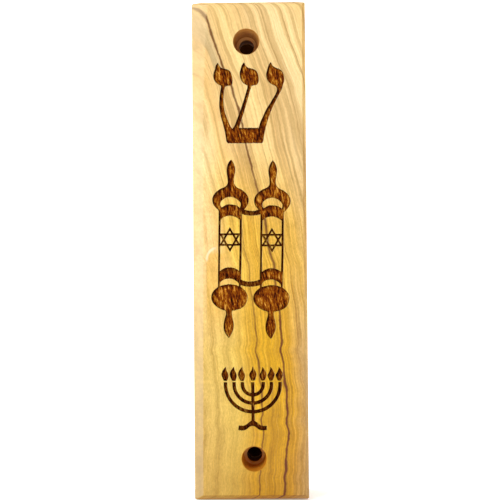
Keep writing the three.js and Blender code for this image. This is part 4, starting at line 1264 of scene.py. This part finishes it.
# the wrap: thin clear film, crinkled, with a pressed seam along it
def wrap_mesh():
    z0, z1 = s_lo.z / MM + 0.02, s_hi.z / MM - 0.02
    ro, th = (s_hi.x - s_lo.x) / 2 / MM - 0.10, 0.10
    na, nz = 160, 150
    verts, faces = [], []
    for side in (0, 1):
        for k in range(nz + 1):
            for i in range(na):
                a = i / na * 2 * math.pi
                f = k / nz
                e = 0.12 * noise.noise(Vector((math.cos(a) * 1.5, math.sin(a) * 1.5, 4.0 if f < 0.5 else 9.0)))
                z = z0 + 0.15 + (z1 - z0 - 0.30) * f + e * abs(2 * f - 1)
                c = noise.noise(Vector((math.cos(a) * 1.7, math.sin(a) * 1.7, z * 0.11)))
                d = noise.noise(Vector((math.cos(a) * 3.6 + 5, math.sin(a) * 3.6, z * 0.30)))
                r = ro - 0.01 - 0.10 * abs(c) ** 0.7 - 0.04 * abs(d)
                seam = math.exp(-((a - 1.15) / 0.035) ** 2)
                r += 0.06 * seam * (0.7 + 0.3 * math.sin(z * 6.0)) - (0.0 if side else th)
                verts.append((r * math.cos(a), AXIS_Y + r * math.sin(a), z))
    m = na * (nz + 1)
    for k in range(nz):
        for i in range(na):
            j = (i + 1) % na
            a, b, c, d = k * na + i, k * na + j, (k + 1) * na + j, (k + 1) * na + i
            faces.append([m + a, m + b, m + c, m + d])
            faces.append([a, d, c, b])
    for i in range(na):
        j = (i + 1) % na
        faces.append([i, j, m + j, m + i])
        t = nz * na
        faces.append([t + i, m + t + i, m + t + j, t + j])
    return solid("film_wrap", verts, faces, 0)


def film(name):
    t = Tree(name)
    tc = t.node("ShaderNodeTexCoord")
    sc_ = t.node("ShaderNodeVectorMath", operation='SCALE')
    t.put(sc_.inputs[0], tc.outputs["Object"])
    sc_.inputs["Scale"].default_value = 1000.0
    v = sc_.outputs[0]
    haze = t.noise(v, 0.5, 3.0, 0.6)
    crink = t.noise(v, 1.6, 3.0, 0.6)
    col = t.mix(t.steps(haze, 0.35, 0.7), lin('FAFBF8'), lin('EEF1EA'))
    t.put(t.bsdf.inputs["Base Color"], col)
    t.put(t.bsdf.inputs["Roughness"], t.mad(haze, 0.18, 0.04))
    t.bsdf.inputs["IOR"].default_value = 1.45
    bp = t.node("ShaderNodeBump")
    bp.inputs["Strength"].default_value = 0.6
    bp.inputs["Distance"].default_value = 0.00010
    t.put(bp.inputs["Height"], crink)
    t.put(t.bsdf.inputs["Normal"], bp.outputs[0])
    # light passes straight through most of it, so that the parchment isn't dimmed
    clear = t.node("ShaderNodeBsdfTransparent")
    mixer = t.node("ShaderNodeMixShader")
    fres = t.node("ShaderNodeFresnel")
    fres.inputs["IOR"].default_value = 1.5
    t.put(mixer.inputs[0], t.mad(fres.outputs[0], 0.55, 0.04))
    t.nt.links.new(clear.outputs[0], mixer.inputs[1])
    t.nt.links.new(t.bsdf.outputs[0], mixer.inputs[2])
    t.nt.links.new(mixer.outputs[0], t.out.inputs[0])
    return t.mat


wrap = place("film_wrap", wrap_mesh())
wrap.data.materials.append(film("clear_wrap"))
for p in wrap.data.polygons:
    p.use_smooth = abs(p.normal.z) < 0.5
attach(wrap, "case")
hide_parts("klaf_sleeve")

# ------------------------------------------------------------------ stage and light
def one_sided(name, color, glow):
    """Matt stage surface that is there only from the front, so that it doesn't hide the case's back."""
    t = Tree(name)
    t.bsdf.inputs["Base Color"].default_value = color
    t.bsdf.inputs["Roughness"].default_value = 1.0
    t.bsdf.inputs["Specular IOR Level"].default_value = 0.0
    t.bsdf.inputs["Emission Color"].default_value = (1, 1, 1, 1)
    t.bsdf.inputs["Emission Strength"].default_value = glow
    clear = t.node("ShaderNodeBsdfTransparent")
    mixer = t.node("ShaderNodeMixShader")
    geo = t.node("ShaderNodeNewGeometry")
    t.put(mixer.inputs[0], geo.outputs["Backfacing"])
    t.nt.links.new(t.bsdf.outputs[0], mixer.inputs[1])
    t.nt.links.new(clear.outputs[0], mixer.inputs[2])
    t.nt.links.new(mixer.outputs[0], t.out.inputs[0])
    return t.mat


def sheet(name, verts, faces, mat):
    m = bpy.data.meshes.new(name)
    m.from_pydata([tuple(c * MM for c in v) for v in verts], [], faces)
    m.materials.append(mat)
    o = place(name, m)
    return o


fz = ZB - 0.4
wy = YB + 0.9
sheet("floor", [(-1500, -1500, fz), (1500, -1500, fz), (1500, 1500, fz), (-1500, 1500, fz)], [(0, 1, 2, 3)],
      one_sided("floor_white", (0.88, 0.88, 0.88, 1), 0.33))
sheet("wall", [(-1500, wy, fz), (1500, wy, fz), (1500, wy, 1500), (-1500, wy, 1500)], [(0, 1, 2, 3)],
      one_sided("wall_white", (0.9, 0.9, 0.9, 1), 0.98))
# painted shade: dark discs on the wall behind the bores stand for the shade inside the screw holes in the doorpost
# behind the case
for k, ((hx, hz), pr) in enumerate(zip(HOLES, (3.4, 2.45))):
    ring_v = [(hx + pr * math.cos(i * math.pi / 12), wy - 0.4, hz + pr * math.sin(i * math.pi / 12)) for i in range(24)]
    sheet("hole_shade_disc_%d" % (k + 1), ring_v, [tuple(range(24))], one_sided("hole_shade_dark_%d" % (k + 1), (0.02, 0.008, 0.003, 1), 0.0))

world = bpy.data.worlds.new("world")
bpy.context.scene.world = world
world.use_nodes = True
wn = world.node_tree
bg = wn.nodes["Background"]
tcw = wn.nodes.new("ShaderNodeTexCoord")
sepw = wn.nodes.new("ShaderNodeSeparateXYZ")
wn.links.new(tcw.outputs["Generated"], sepw.inputs[0])
mr = wn.nodes.new("ShaderNodeMapRange")
mr.interpolation_type = 'SMOOTHSTEP'
wn.links.new(sepw.outputs[1], mr.inputs[0])
for i, v in ((1, -0.97), (2, -0.70), (3, WORLD_FRONT), (4, WORLD_SIDE)):
    mr.inputs[i].default_value = v
wn.links.new(mr.outputs[0], bg.inputs[1])
bg.inputs[0].default_value = (1.0, 0.985, 0.96, 1)


def area(name, at, to, sx, sy, radiance, color=(1, 1, 1)):
    d = bpy.data.lights.new(name, 'AREA')
    d.shape = 'RECTANGLE'
    d.size, d.size_y = sx * MM, sy * MM
    d.energy = radiance * math.pi * sx * sy * MM * MM
    d.color = color
    o = bpy.data.objects.new(name, d)
    o.location = Vector(at) * MM
    o.rotation_mode = 'QUATERNION'
    o.rotation_quaternion = (Vector(to) - Vector(at)).to_track_quat('-Z', 'Y')
    bpy.context.scene.collection.objects.link(o)
    return o


area("key", (-217, -356, 287), (0, YF, 0), 110, 110, 25.0, (1.0, 0.975, 0.93))
area("left_strip", (-352, -325, -42), (0, YF, -10), 150, 270, 4.0, (1.0, 0.985, 0.96))
area("right_soft", (420, -260, 60), (0, YF, 0), 160, 240, 0.5, (1.0, 0.99, 0.97))
area("back_fill", (260, 420, 260), (0, 0, 0), 260, 260, 1.7, (1.0, 0.99, 0.97))



sc = bpy.context.scene
sc.view_settings.view_transform = 'Standard'
sc.view_settings.look = 'None'
sc.view_settings.exposure = 0.0
sc.view_settings.gamma = 1.0
